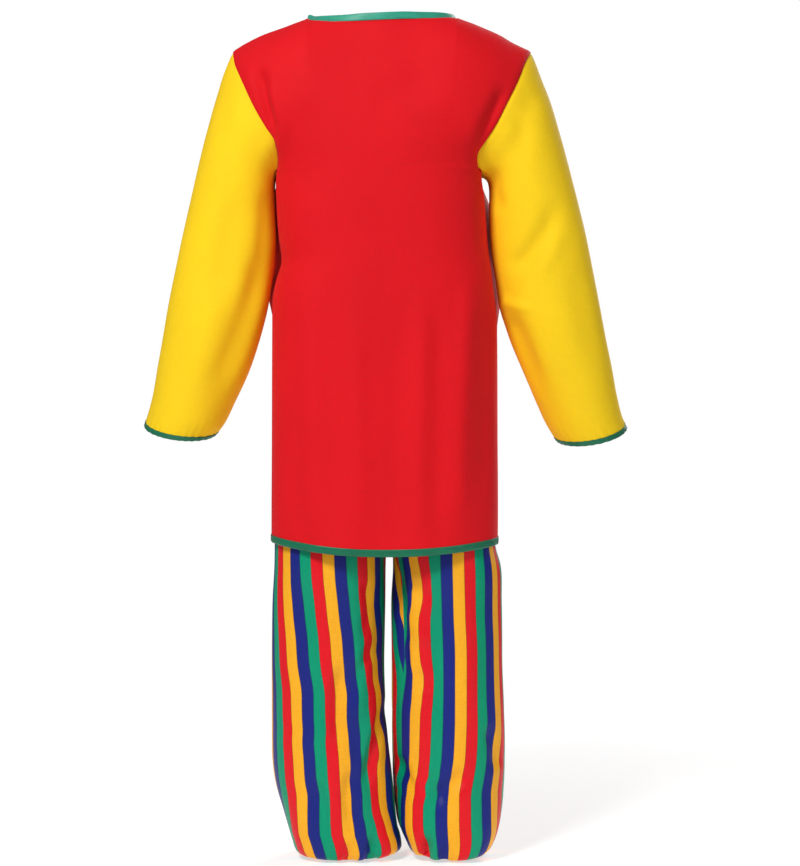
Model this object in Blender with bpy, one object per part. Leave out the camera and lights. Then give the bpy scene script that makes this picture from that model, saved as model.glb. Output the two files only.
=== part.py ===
"""A child's clown costume that keeps its worn shape with nobody in it: a red tunic with
yellow sleeves and green bindings, over striped trousers with elastic waist and ankles.

Metres, +Z up. The costume's back faces -Y and the wearer looks along +Y, so the wearer's
left is at -X. The origin is the neck's base between the shoulders, where the costume is
held. Named sizes and tables are in millimetres.
"""
import math
from collections import namedtuple

import bmesh
import bpy
from mathutils import Vector

MM = 0.001

# Cloth and seams
CLOTH = 1.5
SEAM_GAP = 0.3
NECK_SEAM_GAP = 0.6
BINDING_PROUD = 0.7
BINDING_FOLD = 1.2
LEAST_MITRE = 0.7
SHARP_DEGREES = 50
FINE_STEPS = 360
NECK_BINDING_WIDTH = 8.0
HEM_BINDING_WIDTH = 8.0
CUFF_BINDING_WIDTH = 6.0

# Tunic: half-widths to each side of the middle and depths to the back and the front.
# Above the armpits the widths are those of the rounded section that the armhole cuts.
SIDE_POWER = 2.8
ARMPIT_Z = -195.0
WAIST_LEVEL_Z = -325
TorsoLevel = namedtuple("TorsoLevel", "z left right back front")
TORSO = [
    TorsoLevel(z=-670, left=139.5, right=142.0, back=101, front=102),
    TorsoLevel(z=-560, left=139.5, right=142.0, back=98, front=99),
    TorsoLevel(z=-450, left=139.5, right=142.0, back=95, front=97),
    TorsoLevel(z=-375, left=139.5, right=141.5, back=93, front=96),
    TorsoLevel(z=-350, left=139.0, right=139.0, back=93, front=96),
    TorsoLevel(z=-325, left=134.0, right=135.0, back=93, front=96),
    TorsoLevel(z=-302, left=127.5, right=132.0, back=93, front=96),
    TorsoLevel(z=-275, left=130.5, right=130.0, back=93, front=95),
    TorsoLevel(z=-235, left=132.5, right=127.0, back=94, front=95),
    TorsoLevel(z=-195, left=134.0, right=121.0, back=94, front=94),
    TorsoLevel(z=-190, left=134.5, right=121.5, back=94, front=94),
    TorsoLevel(z=-178, left=137.0, right=123.5, back=94, front=94),
    TorsoLevel(z=-160, left=150.0, right=141.0, back=94, front=93),
    TorsoLevel(z=-144, left=166.0, right=157.0, back=93, front=93),
    TorsoLevel(z=-129, left=177.0, right=167.0, back=93, front=92),
    TorsoLevel(z=-112, left=184.0, right=173.0, back=92, front=91),
    TorsoLevel(z=-92, left=192.0, right=182.0, back=90, front=90),
    TorsoLevel(z=-60, left=196.0, right=187.0, back=88, front=88),
    TorsoLevel(z=0, left=198.0, right=190.0, back=85, front=86),
]

# Shoulder line from the neck to the tip, by distance from the middle
ShoulderPoint = namedtuple("ShoulderPoint", "z left right")
SHOULDER = [
    ShoulderPoint(z=-1, left=94, right=92),
    ShoulderPoint(z=-6, left=110, right=108),
    ShoulderPoint(z=-11, left=124, right=121),
    ShoulderPoint(z=-20, left=150, right=143),
    ShoulderPoint(z=-30, left=171, right=161),
    ShoulderPoint(z=-40, left=189, right=184),
]
SHOULDER_ROUNDING = 120.0
SHOULDER_POWER = 2.2
NECK_LEAN = 150.0
NECK_CORNER = 0.25
NECK_BLUR = 60.0

# Armhole seam by distance from the middle, tip to armpit
ArmholePoint = namedtuple("ArmholePoint", "z left right")
ARMHOLE = [
    ArmholePoint(z=-40, left=189.0, right=184.0),
    ArmholePoint(z=-60, left=185.0, right=175.0),
    ArmholePoint(z=-77, left=178.0, right=168.5),
    ArmholePoint(z=-92, left=171.3, right=162.2),
    ArmholePoint(z=-112, left=162.0, right=152.3),
    ArmholePoint(z=-129, left=153.0, right=144.0),
    ArmholePoint(z=-144, left=144.0, right=136.0),
    ArmholePoint(z=-160, left=134.0, right=125.5),
    ArmholePoint(z=-178, left=131.0, right=115.6),
    ArmholePoint(z=-190, left=132.0, right=117.0),
    ArmholePoint(z=-195, left=134.0, right=121.0),
]

# Neckline of each panel, and its side of the costume
Panel = namedtuple("Panel", "name sign neck_depth neck_drop droop")
BACK = Panel(name="back", sign=-1, neck_depth=60, neck_drop=9, droop=0.45)
FRONT = Panel(name="front", sign=1, neck_depth=75, neck_drop=55, droop=0.0)

# How far the neck binding is turned up from the cloth's own direction
NECK_STAND = 1.6

# Bulges of the panels' sides towards the sleeves: height up, and depth from the side seam
SideFold = namedtuple("SideFold", "z length depth width height")
SIDE_FOLDS = {
    ("back", "left"): SideFold(z=-210, length=65, depth=33, width=15, height=2.0),
    ("front", "left"): SideFold(z=-283, length=82, depth=38, width=20, height=16.0),
    ("front", "right"): SideFold(z=-290, length=82, depth=38, width=21, height=15.0),
}
SIDE_FOLD_START = 14.0

# Hem of the tunic's cloth, above its binding
HEM_SIDE_Z = -640.8
HEM_MIDDLE_DROP = 17.0
HEM_HALF_WIDTH = 142.0

# Soft upright folds in the tunic's skirt
DRAPE_TOP_Z = -320.0
DRAPE_LENGTH = 300.0
DRAPE_DEPTH = 2.2
DRAPE_WAVES = 3.5

# Grid of a tunic panel: columns from the left side to the right, rows up the armhole,
# and the shares of the way from the armpit to the hem
SHOULDER_COLUMNS = 5
NECK_COLUMNS = 10
COLUMNS = 2 * SHOULDER_COLUMNS + NECK_COLUMNS
ARMHOLE_ROWS = 12
SKIRT_ROWS = (0, 0.09, 0.17, 0.24, 0.30, 0.37, 0.47, 0.60, 0.74, 0.87, 1)

# Sleeves: each ring's outer and inner ends, half-depth front to back, how far forward
# its middle is, and its forward tilt in degrees
SleeveRing = namedtuple("SleeveRing", "outer_x outer_z inner_x inner_z depth y tilt")
SLEEVE_RIGHT = [
    SleeveRing(188, -53, 123.5, -195.8, 61, 0, 0),
    SleeveRing(197, -77, 126.5, -197.5, 60, 0, 0),
    SleeveRing(207, -102, 129, -201, 58, 0, 0),
    SleeveRing(217, -134, 130.7, -208, 56, 0, 0),
    SleeveRing(228, -172, 131.2, -223, 54, 0, 0),
    SleeveRing(240, -217, 131.2, -248, 52, 0, 0),
    SleeveRing(252, -267, 133.2, -283, 51, 0, 1),
    SleeveRing(262, -318, 139.5, -325, 51, 1, 4),
    SleeveRing(271, -363, 145.5, -365, 51, 4, 9),
    SleeveRing(278, -396, 157, -400, 51, 10, 13),
    SleeveRing(286, -430, 173, -437, 50, 18, 16),
    SleeveRing(294, -468, 191, -476, 49, 29, 17),
    SleeveRing(302, -496, 207, -508, 47, 37, 17),
    SleeveRing(305.5, -504.5, 215.5, -520.5, 46, 40, 17),
]
SLEEVE_LEFT = [
    SleeveRing(-193.5, -53, -134.8, -196, 61, 0, 0),
    SleeveRing(-203, -77, -135.5, -198, 60, 0, 0),
    SleeveRing(-211, -102, -136.2, -202, 58, 0, 0),
    SleeveRing(-219.5, -134, -136.5, -209, 56, 0, 0),
    SleeveRing(-229, -172, -136.5, -224, 54, 0, 0),
    SleeveRing(-239.5, -217, -135.8, -248, 52, 0, 0),
    SleeveRing(-251, -267, -135.0, -283, 51, 0, 1),
    SleeveRing(-261.5, -318, -138.6, -323, 51, 1, 4),
    SleeveRing(-270.5, -363, -146, -365, 51, 4, 9),
    SleeveRing(-277, -396, -156, -400, 51, 10, 13),
    SleeveRing(-284.5, -430, -169, -437, 50, 18, 16),
    SleeveRing(-292.5, -468, -186.5, -474, 49, 29, 17),
    SleeveRing(-300, -493.5, -203.5, -506, 47, 37, 17),
    SleeveRing(-302.5, -501.5, -210, -513.5, 46, 40, 17),
]
HEAD_SHARE = (0.85, 0.6, 0.35, 0.15, 0.05)
ARMHOLE_HALF_DEPTH = 62.0

# Trousers: each ring's inner and outer ends on both legs, half-depth, and how far its
# ends are lifted. Above the crotch the inner end lies past the middle, where the seam
# cuts the section.
WAIST_Z = -345.0
CROTCH_Z = -600.0
CROTCH_X = 6.5
LEG_POWER = 2.3
BLOUSE_POWER = 3.1
BLOUSE_TOP_Z = -960.0
BLOUSE_LENGTH = 60.0
LEG_COLUMNS = 32
LegRing = namedtuple(
    "LegRing", "z left_inner left_outer right_inner right_outer depth lift gather")
LEGS = [
    LegRing(-345, 105, -105, -105, 106, 80, 0, 1.6),
    LegRing(-371, 107, -108, -106, 109, 81, 0, 1.6),
    LegRing(-408, 117, -118, -116, 120, 84, 0, 0.6),
    LegRing(-455, 116, -128, -112, 130, 87, 0, 0),
    LegRing(-500, 88, -133, -76, 136, 87, 0, 0),
    LegRing(-540, 56, -136.5, -43, 139, 86, 0, 0),
    LegRing(-570, 31, -137.3, -18, 139.9, 85, 0, 0),
    LegRing(-590, 16, -137.3, -3, 139.9, 84, 0, 0),
    LegRing(-600, 6.2, -137.2, 6.8, 139.8, 83.5, 0, 0),
    LegRing(-638, 4.5, -136.6, 8.5, 139.0, 82, 0, 0),
    LegRing(-656, 3.5, -136.3, 10, 139.0, 81, 0, 0),
    LegRing(-680, 2.5, -136.5, 11, 145.3, 80, 0, 0),
    LegRing(-725, 1.9, -138.8, 8.8, 147, 75, 0, 0),
    LegRing(-765, 1.2, -139.6, 9.0, 147.8, 72, 0, 0),
    LegRing(-806, 0.6, -140, 9.4, 148, 70, 0, 0),
    LegRing(-850, 2, -140, 9.7, 149.4, 68, 0, 0),
    LegRing(-890, 4, -140, 10.4, 150.4, 67, 0, 0),
    LegRing(-925, 7, -139.2, 12, 150.5, 66, 0, 0),
    LegRing(-955, 9.5, -134.5, 14, 149.3, 66, 0, 0),
    LegRing(-982, 12, -126, 16.2, 147, 65.5, 0, 0),
    LegRing(-1006, 16, -118.5, 20, 142.5, 64, 0, 0),
    LegRing(-1023, 21, -113.5, 27, 137, 62, 1, 0.3),
    LegRing(-1034, 21, -110, 32, 131, 59, 2, 0.8),
    LegRing(-1040, 13, -104, 39, 123, 53, 3, 1.5),
    LegRing(-1036, 5, -94, 43, 118, 45, 3, 2.2),
    LegRing(-1022, 0, -85, 43, 117, 39, 0, 2.4),
    LegRing(-1004, -2, -83, 44, 116, 37, 0, 2.4),
]

# Largest folds of the sleeves and legs: troughs, or ridges where the depth is negative.
# The turn is the share of the way round, lean is how much it changes per millimetre up.
# A sleeve's turn starts at its outer line and a leg's at its inside seam, back first.
Fold = namedtuple("Fold", "turn z length width depth lean")
SLEEVE_GIRTH = 350.0
SLEEVE_FOLDS = {
    "left": [
        Fold(turn=0.38, z=-355, length=70, width=15, depth=3.0, lean=0.0002),
        Fold(turn=0.28, z=-330, length=90, width=18, depth=2.0, lean=-0.0003),
        Fold(turn=0.62, z=-350, length=60, width=18, depth=3.5, lean=0.0),
    ],
    "right": [
        Fold(turn=0.34, z=-315, length=45, width=16, depth=4.0, lean=-0.0022),
        Fold(turn=0.40, z=-400, length=55, width=18, depth=3.5, lean=0.0004),
        Fold(turn=0.62, z=-345, length=60, width=18, depth=3.5, lean=0.0),
    ],
}
LEG_GIRTH = 450.0
LEG_FOLDS = {
    "left": [
        Fold(turn=0.16, z=-905, length=45, width=16, depth=5.0, lean=0.0006),
        Fold(turn=0.30, z=-965, length=25, width=20, depth=3.5, lean=0.0),
        Fold(turn=0.08, z=-760, length=60, width=15, depth=4.0, lean=0.0),
        Fold(turn=0.62, z=-950, length=35, width=20, depth=4.5, lean=0.0004),
        Fold(turn=0.82, z=-900, length=50, width=18, depth=4.5, lean=-0.0005),
        Fold(turn=0.92, z=-760, length=70, width=16, depth=4.0, lean=0.0),
    ],
    "right": [
        Fold(turn=0.20, z=-955, length=35, width=18, depth=5.0, lean=-0.0012),
        Fold(turn=0.07, z=-940, length=40, width=16, depth=4.0, lean=0.0),
        Fold(turn=0.09, z=-735, length=60, width=15, depth=4.0, lean=0.0),
        Fold(turn=0.64, z=-945, length=35, width=20, depth=4.5, lean=-0.0004),
        Fold(turn=0.80, z=-915, length=50, width=18, depth=4.5, lean=0.0005),
        Fold(turn=0.93, z=-750, length=70, width=16, depth=4.0, lean=0.0),
    ],
}

# Finishes: colour in linear light and roughness
RED = (0.77, 0.014, 0.021)
YELLOW = (0.98, 0.64, 0.021)
GREEN = (0.005, 0.22, 0.10)
STRIPE_GREEN = (0.001, 0.35, 0.155)
CLOTH_ROUGHNESS = 0.75


def smooth_value(points, at):
    """Value at a position on the smooth curve through sorted (position, value) points."""
    if at <= points[0][0]:
        return points[0][1]
    if at >= points[-1][0]:
        return points[-1][1]
    index = max(i for i in range(len(points) - 1) if points[i][0] <= at)

    def rise(i):
        return (points[i + 1][1] - points[i][1]) / (points[i + 1][0] - points[i][0])

    def slope(i):
        if i == 0:
            return rise(0)
        if i == len(points) - 1:
            return rise(i - 1)
        before, after = rise(i - 1), rise(i)
        return 0 if before * after <= 0 else 2 * before * after / (before + after)

    span = points[index + 1][0] - points[index][0]
    share = (at - points[index][0]) / span
    start, end = points[index][1], points[index + 1][1]
    return (start * (1 + 2 * share) * (1 - share) ** 2
            + end * share ** 2 * (3 - 2 * share)
            + span * slope(index) * share * (1 - share) ** 2
            - span * slope(index + 1) * share ** 2 * (1 - share))


def read(table, column, at, key="z"):
    """Value of a table's column where its key column has the given value."""
    return smooth_value(sorted((getattr(row, key), getattr(row, column)) for row in table), at)


def ease(share):
    """A share from 0 to 1, eased at both ends."""
    share = min(max(share, 0), 1)
    return share * share * (3 - 2 * share)


def resample(points, count):
    """The given number of even steps along a line of points."""
    lengths = [0.0]
    for before, after in zip(points, points[1:]):
        lengths.append(lengths[-1] + (after - before).length)
    result = []
    index = 0
    for step in range(count + 1):
        target = lengths[-1] * step / count
        while index < len(points) - 2 and lengths[index + 1] < target:
            index += 1
        span = lengths[index + 1] - lengths[index]
        share = (target - lengths[index]) / span if span else 0
        result.append(points[index].lerp(points[index + 1], share))
    return result


def fold_depth(folds, girth, turn, z):
    """How far the folds press a tube of cloth in at a share of the way round and a height."""
    total = 0
    for fold in folds:
        away = turn - fold.turn - fold.lean * (z - fold.z)
        away = (away + 0.5) % 1 - 0.5
        across = away * girth / fold.width
        along = (z - fold.z) / fold.length
        total += fold.depth * math.exp(-across ** 2 - along ** 2)
    return total


# Cloth surfaces

Sheet = namedtuple("Sheet", "points faces")


def sheet_from_rows(rows, closed_from=None):
    """Quads between rows of points; rows from closed_from on join up into rings."""
    points = []
    index = []
    for number, row in enumerate(rows):
        closed = closed_from is not None and number >= closed_from
        start = len(points)
        kept = row[:-1] if closed else row
        points.extend(kept)
        line = list(range(start, start + len(kept)))
        index.append(line + [start] if closed else line)
    faces = []
    for upper, lower in zip(index, index[1:]):
        for column in range(len(upper) - 1):
            faces.append((upper[column], lower[column], lower[column + 1], upper[column + 1]))
    return Sheet(points, faces), index


def sheet_normals(sheet, flip):
    """Mean normal at each point, turned to the sheet's other side where flip is set."""
    normals = [Vector((0, 0, 0)) for _ in sheet.points]
    for face in sheet.faces:
        a, b, c, d = (sheet.points[i] for i in face)
        normal = (c - a).cross(d - b)
        for i in face:
            normals[i] += normal
    return [normal.normalized() * (-1 if flip else 1) for normal in normals]


def fabric(name, colour):
    """A plain cloth material."""
    material = bpy.data.materials.new(name)
    material.use_nodes = True
    shader = material.node_tree.nodes["Principled BSDF"]
    shader.inputs["Base Color"].default_value = (*colour, 1)
    shader.inputs["Roughness"].default_value = CLOTH_ROUGHNESS
    shader.inputs["Metallic"].default_value = 0
    material.diffuse_color = (*colour, 1)
    return material


def add_solid(name, points, faces, colour):
    """A closed solid from points in millimetres, with its faces turned outwards."""
    mesh = bpy.data.meshes.new(name)
    mesh.from_pydata([point * MM for point in points], [], faces)
    body = bmesh.new()
    body.from_mesh(mesh)
    bmesh.ops.recalc_face_normals(body, faces=body.faces)
    body.to_mesh(mesh)
    body.free()
    mesh.shade_smooth()
    mesh.set_sharp_from_angle(angle=math.radians(SHARP_DEGREES))
    mesh.materials.append(fabric(name, colour))
    solid = bpy.data.objects.new(name, mesh)
    COSTUME.objects.link(solid)
    return solid


def add_wall(name, sheet, offsets, colour):
    """A cloth wall: the sheet outside, its offset copy inside, and a rim between them."""
    count = len(sheet.points)
    points = sheet.points + [point + offset for point, offset in zip(sheet.points, offsets)]
    faces = list(sheet.faces)
    faces += [tuple(count + i for i in reversed(face)) for face in sheet.faces]
    used = set()
    for face in sheet.faces:
        used.update(zip(face, face[1:] + face[:1]))
    for start, end in used:
        if (end, start) not in used:
            faces.append((end, start, count + start, count + end))
    return add_solid(name, points, faces, colour)


Station = namedtuple("Station", "point normal away")


def add_binding(name, stations, width, colour, gap=SEAM_GAP):
    """A folded strip that goes on from a cloth's edge, across a seam's gap."""
    section = [
        (gap, BINDING_PROUD),
        (gap + width - BINDING_FOLD, BINDING_PROUD),
        (gap + width, -CLOTH / 2),
        (gap + width - BINDING_FOLD, -CLOTH - BINDING_PROUD),
        (gap, -CLOTH - BINDING_PROUD),
    ]
    points = [station.point + station.away * along + station.normal * out
              for station in stations for along, out in section]
    size = len(section)
    faces = []
    for number in range(len(stations)):
        here = number * size
        there = (number + 1) % len(stations) * size
        for corner in range(size):
            after = (corner + 1) % size
            faces.append((here + corner, here + after, there + after, there + corner))
    return add_solid(name, points, faces, colour)


def edge_stations(points, normals, inside):
    """Stations round a closed edge: inside is each point's neighbour within the cloth."""
    stations = []
    for number, (point, normal) in enumerate(zip(points, normals)):
        before = (point - points[number - 1]).normalized()
        after = (points[(number + 1) % len(points)] - point).normalized()
        along = (before + after).normalized()
        level = (normal - along * normal.dot(along)).normalized()
        away = along.cross(level) / along.dot(after)
        if away.dot(point - inside[number]) < 0:
            away = -away
        stations.append(Station(point, level, away))
    return stations


def stand_up(stations):
    """Turns a binding's stations up, so that it stands on its seam."""
    turned = []
    for station in stations:
        away = station.away.normalized()
        along = away.cross(station.normal)
        up = Vector((0, 0, 1)) - along * along.z
        risen = (away + up * NECK_STAND).normalized()
        level = (station.normal - risen * station.normal.dot(risen)).normalized()
        turned.append(Station(station.point, level, risen * station.away.length))
    return turned


# Tunic

def side_of(x):
    return "left" if x < 0 else "right"


def neck_half_width(x):
    return getattr(SHOULDER[0], side_of(x))


def neck_height(x, below=0.0):
    """Share of the neckline's depth and drop at x: 1 in the middle and 0 at its ends, which
    blur with the distance below the edge."""
    height = 1 - (x / neck_half_width(x)) ** 2
    blur = min(below / NECK_BLUR, 1)
    return math.sqrt(max(0, height + math.hypot(height, blur)) / 2)


def ridge_z(panel, x):
    """Height of a panel's upper edge at x: the neckline, or the shoulder line outside it."""
    if abs(x) < neck_half_width(x):
        droop = 1 - panel.droop * x / neck_half_width(x)
        return SHOULDER[0].z - panel.neck_drop * neck_height(x) * droop
    return read(SHOULDER, "z", abs(x), key=side_of(x))


def panel_depth(panel, x, z):
    """How far a panel stands behind or before the side and shoulder seams."""
    ratio = min(abs(x) / read(TORSO, side_of(x), z), 1)
    full = read(TORSO, panel.name, z) * (1 - ratio ** SIDE_POWER) ** (1 / SIDE_POWER)
    below = max(0, ridge_z(panel, x) - z)
    edge = panel.neck_depth * neck_height(x, below)
    over_shoulder = 1 - min(below / SHOULDER_ROUNDING, 1)
    over_shoulder = (1 - over_shoulder ** SHOULDER_POWER) ** (1 / SHOULDER_POWER)
    down_neck = 1 - (1 - min(below / NECK_LEAN, 1)) ** 2
    at_neck = ease((1 - abs(x) / neck_half_width(x)) / (1 - NECK_CORNER))
    fall = over_shoulder + (down_neck - over_shoulder) * at_neck
    return edge + (full - edge) * fall


def even_quarter(width, depth, steps):
    """Unit points of the rounded section from the side to the middle, evenly spaced."""
    fine = []
    for step in range(FINE_STEPS + 1):
        angle = math.pi / 2 * step / FINE_STEPS
        fine.append(Vector((width * math.cos(angle) ** (2 / SIDE_POWER),
                            depth * math.sin(angle) ** (2 / SIDE_POWER), 0)))
    return [(point.x / width, point.y / depth) for point in resample(fine, steps)]


def hem_z(x):
    """Height of the tunic cloth's lower edge: it dips to the middle."""
    return HEM_SIDE_Z - HEM_MIDDLE_DROP * (1 - (x / HEM_HALF_WIDTH) ** 2)


def drape(across, z):
    """How far the skirt waves out at a share of the way across."""
    grown = ease((DRAPE_TOP_Z - z) / DRAPE_LENGTH)
    wave = math.sin(2 * math.pi * DRAPE_WAVES * across) * math.sin(math.pi * across)
    return DRAPE_DEPTH * grown * wave


def skirt_point(panel, quarter, column, z):
    """A point of the tunic below the armpits."""
    middle = COLUMNS // 2
    side, sign = ("left", -1) if column < middle else ("right", 1)
    out, deep = quarter[min(column, COLUMNS - column)]
    x = sign * read(TORSO, side, z) * out
    y = read(TORSO, panel.name, z) * deep + drape(column / COLUMNS, z)
    return Vector((x, panel.sign * (y + SEAM_GAP / 2), z))


def upper_edge(panel):
    """Points along a panel's top, from the left tip over the neckline to the right tip."""
    edge = []
    neck, tip = SHOULDER[0], SHOULDER[-1]
    for step in range(SHOULDER_COLUMNS):
        edge.append(-tip.left + (tip.left - neck.left) * step / SHOULDER_COLUMNS)
    for step in range(NECK_COLUMNS + 1):
        turn = -math.cos(math.pi * step / NECK_COLUMNS)
        edge.append(turn * (neck.left if turn < 0 else neck.right))
    for step in range(1, SHOULDER_COLUMNS + 1):
        edge.append(neck.right + (tip.right - neck.right) * step / SHOULDER_COLUMNS)
    return [(x, ridge_z(panel, x)) for x in edge]


def armhole_share(row):
    """Share of the way from the shoulder tip down to the armpit at a row."""
    return (1 - math.cos(math.pi * row / ARMHOLE_ROWS)) / 2


def armhole_point(side, share):
    """Place in the photo's plane of the armhole seam at a share of the way down."""
    tip = SHOULDER[-1].z
    z = tip + (ARMPIT_Z - tip) * share
    return (-1 if side == "left" else 1) * read(ARMHOLE, side, z), z


def side_bulge(panel, point, from_seam):
    """How far a panel's side swells towards the sleeve at a point."""
    fold = SIDE_FOLDS.get((panel.name, side_of(point.x)))
    if fold is None:
        return Vector()
    deep = (abs(point.y) - fold.depth) / fold.width
    high = (point.z - fold.z) / fold.length
    height = fold.height * math.exp(-deep ** 2 - high ** 4)
    height *= ease(from_seam / SIDE_FOLD_START) * ease((ARMPIT_Z - point.z) / SIDE_FOLD_START)
    outwards = -1 if point.x < 0 else 1
    return Vector((outwards * 0.96, panel.sign * 0.28, 0)) * height


def tunic_rows(panel, quarter):
    """Rows of a panel's points, from the shoulders and neck down to the hem."""
    top = upper_edge(panel)
    bottom = [(point.x, point.z) for point in
              (skirt_point(panel, quarter, column, ARMPIT_Z) for column in range(COLUMNS + 1))]
    rows = []
    for row in range(ARMHOLE_ROWS):
        down = armhole_share(row)
        left = armhole_point("left", down)
        right = armhole_point("right", down)
        line = []
        for column in range(COLUMNS + 1):
            across = column / COLUMNS
            x, z = ((1 - down) * top[column][k] + down * bottom[column][k]
                    + (1 - across) * left[k] + across * right[k]
                    - (1 - down) * ((1 - across) * top[0][k] + across * top[-1][k])
                    - down * ((1 - across) * bottom[0][k] + across * bottom[-1][k])
                    for k in (0, 1))
            depth = panel_depth(panel, x, z) + SEAM_GAP / 2
            line.append(Vector((x, panel.sign * depth, z)))
        rows.append(line)
    for share in SKIRT_ROWS:
        line = []
        for column in range(COLUMNS + 1):
            x = bottom[column][0]
            z = ARMPIT_Z + (hem_z(x) - ARMPIT_Z) * share
            line.append(skirt_point(panel, quarter, column, z))
        rows.append(line)
    return [[point + side_bulge(panel, point, min((point - row[end]).length for end in (0, -1)))
             for point in row] for row in rows]


def seam_plane_offset(normal):
    """Inward offset of a wall at a seam in the plane between back and front."""
    flat = Vector((normal.x, 0, normal.z)).normalized()
    return -flat * CLOTH


def seam_ring(back_rows, front_rows, column):
    """The armhole seam as a ring: tip, down the back to the armpit, up the front."""
    back = [back_rows[row][column] for row in range(ARMHOLE_ROWS + 1)]
    front = [front_rows[row][column] for row in range(ARMHOLE_ROWS + 1)]
    tip = (back[0] + front[0]) / 2
    armpit = (back[-1] + front[-1]) / 2
    return [tip] + back[1:-1] + [armpit] + front[-2:0:-1]


# Sleeves

def sleeve_section(ring, angle):
    """A point of a sleeve's ring: angle 0 is its outer end and a quarter turn its back."""
    outer = Vector((ring.outer_x, ring.y, ring.outer_z))
    inner = Vector((ring.inner_x, ring.y, ring.inner_z))
    tilt = math.radians(ring.tilt)
    back = Vector((0, -math.cos(tilt), -math.sin(tilt))) * ring.depth
    return (outer + inner) / 2 + (outer - inner) / 2 * math.cos(angle) + back * math.sin(angle)


def sleeve_rings(table, seam, folds):
    """Rings of a sleeve from the armhole seam to the cuff; the head eases out of the seam."""
    count = len(seam)
    tip, armpit = seam[0], seam[count // 2]
    armhole = SleeveRing(tip.x, tip.z, armpit.x, armpit.z, ARMHOLE_HALF_DEPTH, 0, 0)
    turns = [2 * math.pi * j / count for j in range(count)]
    lean = [point - sleeve_section(armhole, turn) for point, turn in zip(seam, turns)]
    rings = [seam]
    for number, ring in enumerate(table):
        share = HEAD_SHARE[number] if number < len(HEAD_SHARE) else 0
        middle = Vector(((ring.outer_x + ring.inner_x) / 2, ring.y,
                         (ring.outer_z + ring.inner_z) / 2))
        line = []
        for j, (turn, offset) in enumerate(zip(turns, lean)):
            point = sleeve_section(ring, turn)
            press = fold_depth(folds, SLEEVE_GIRTH, j / count, middle.z)
            line.append(point + offset * share - (point - middle).normalized() * press)
        rings.append(line)
    return rings


# Trousers

def middle_x(z):
    """Where the trousers' centre seams lie across, at a height."""
    return CROTCH_X * min(max((WAIST_Z - z) / (WAIST_Z - CROTCH_Z), 0), 1)


def leg_row(ring, side):
    """One row of a leg, from the inside-leg or centre seam round the back to the front."""
    outwards = -1 if side == "left" else 1
    inner = getattr(ring, side + "_inner")
    outer = getattr(ring, side + "_outer")
    centre, half = (inner + outer) / 2, abs(outer - inner) / 2
    cut = middle_x(ring.z) + outwards * SEAM_GAP / 2
    power = LEG_POWER + (BLOUSE_POWER - LEG_POWER) * ease((BLOUSE_TOP_Z - ring.z) / BLOUSE_LENGTH)
    points = []
    for step in range(4 * FINE_STEPS + 1):
        angle = math.pi / 2 * step / FINE_STEPS
        c, s = math.cos(angle), math.sin(angle)
        x = centre - outwards * half * math.copysign(abs(c) ** (2 / power), c)
        y = -ring.depth * math.copysign(abs(s) ** (2 / power), s)
        if ring.z <= CROTCH_Z or (x - cut) * outwards >= 0:
            points.append(Vector((x, y, ring.z)))
    row = resample(points, LEG_COLUMNS)
    for column, point in enumerate(row):
        wave = ring.gather if column % 2 else -ring.gather
        radial = Vector((point.x - centre, point.y, 0))
        wave -= fold_depth(LEG_FOLDS[side], LEG_GIRTH, column / LEG_COLUMNS, ring.z)
        if 0 < column < LEG_COLUMNS or ring.z < CROTCH_Z:
            row[column] = point + radial.normalized() * wave
        row[column].z += ring.lift * ((point.x - centre) / half) ** 2
    return row


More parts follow.
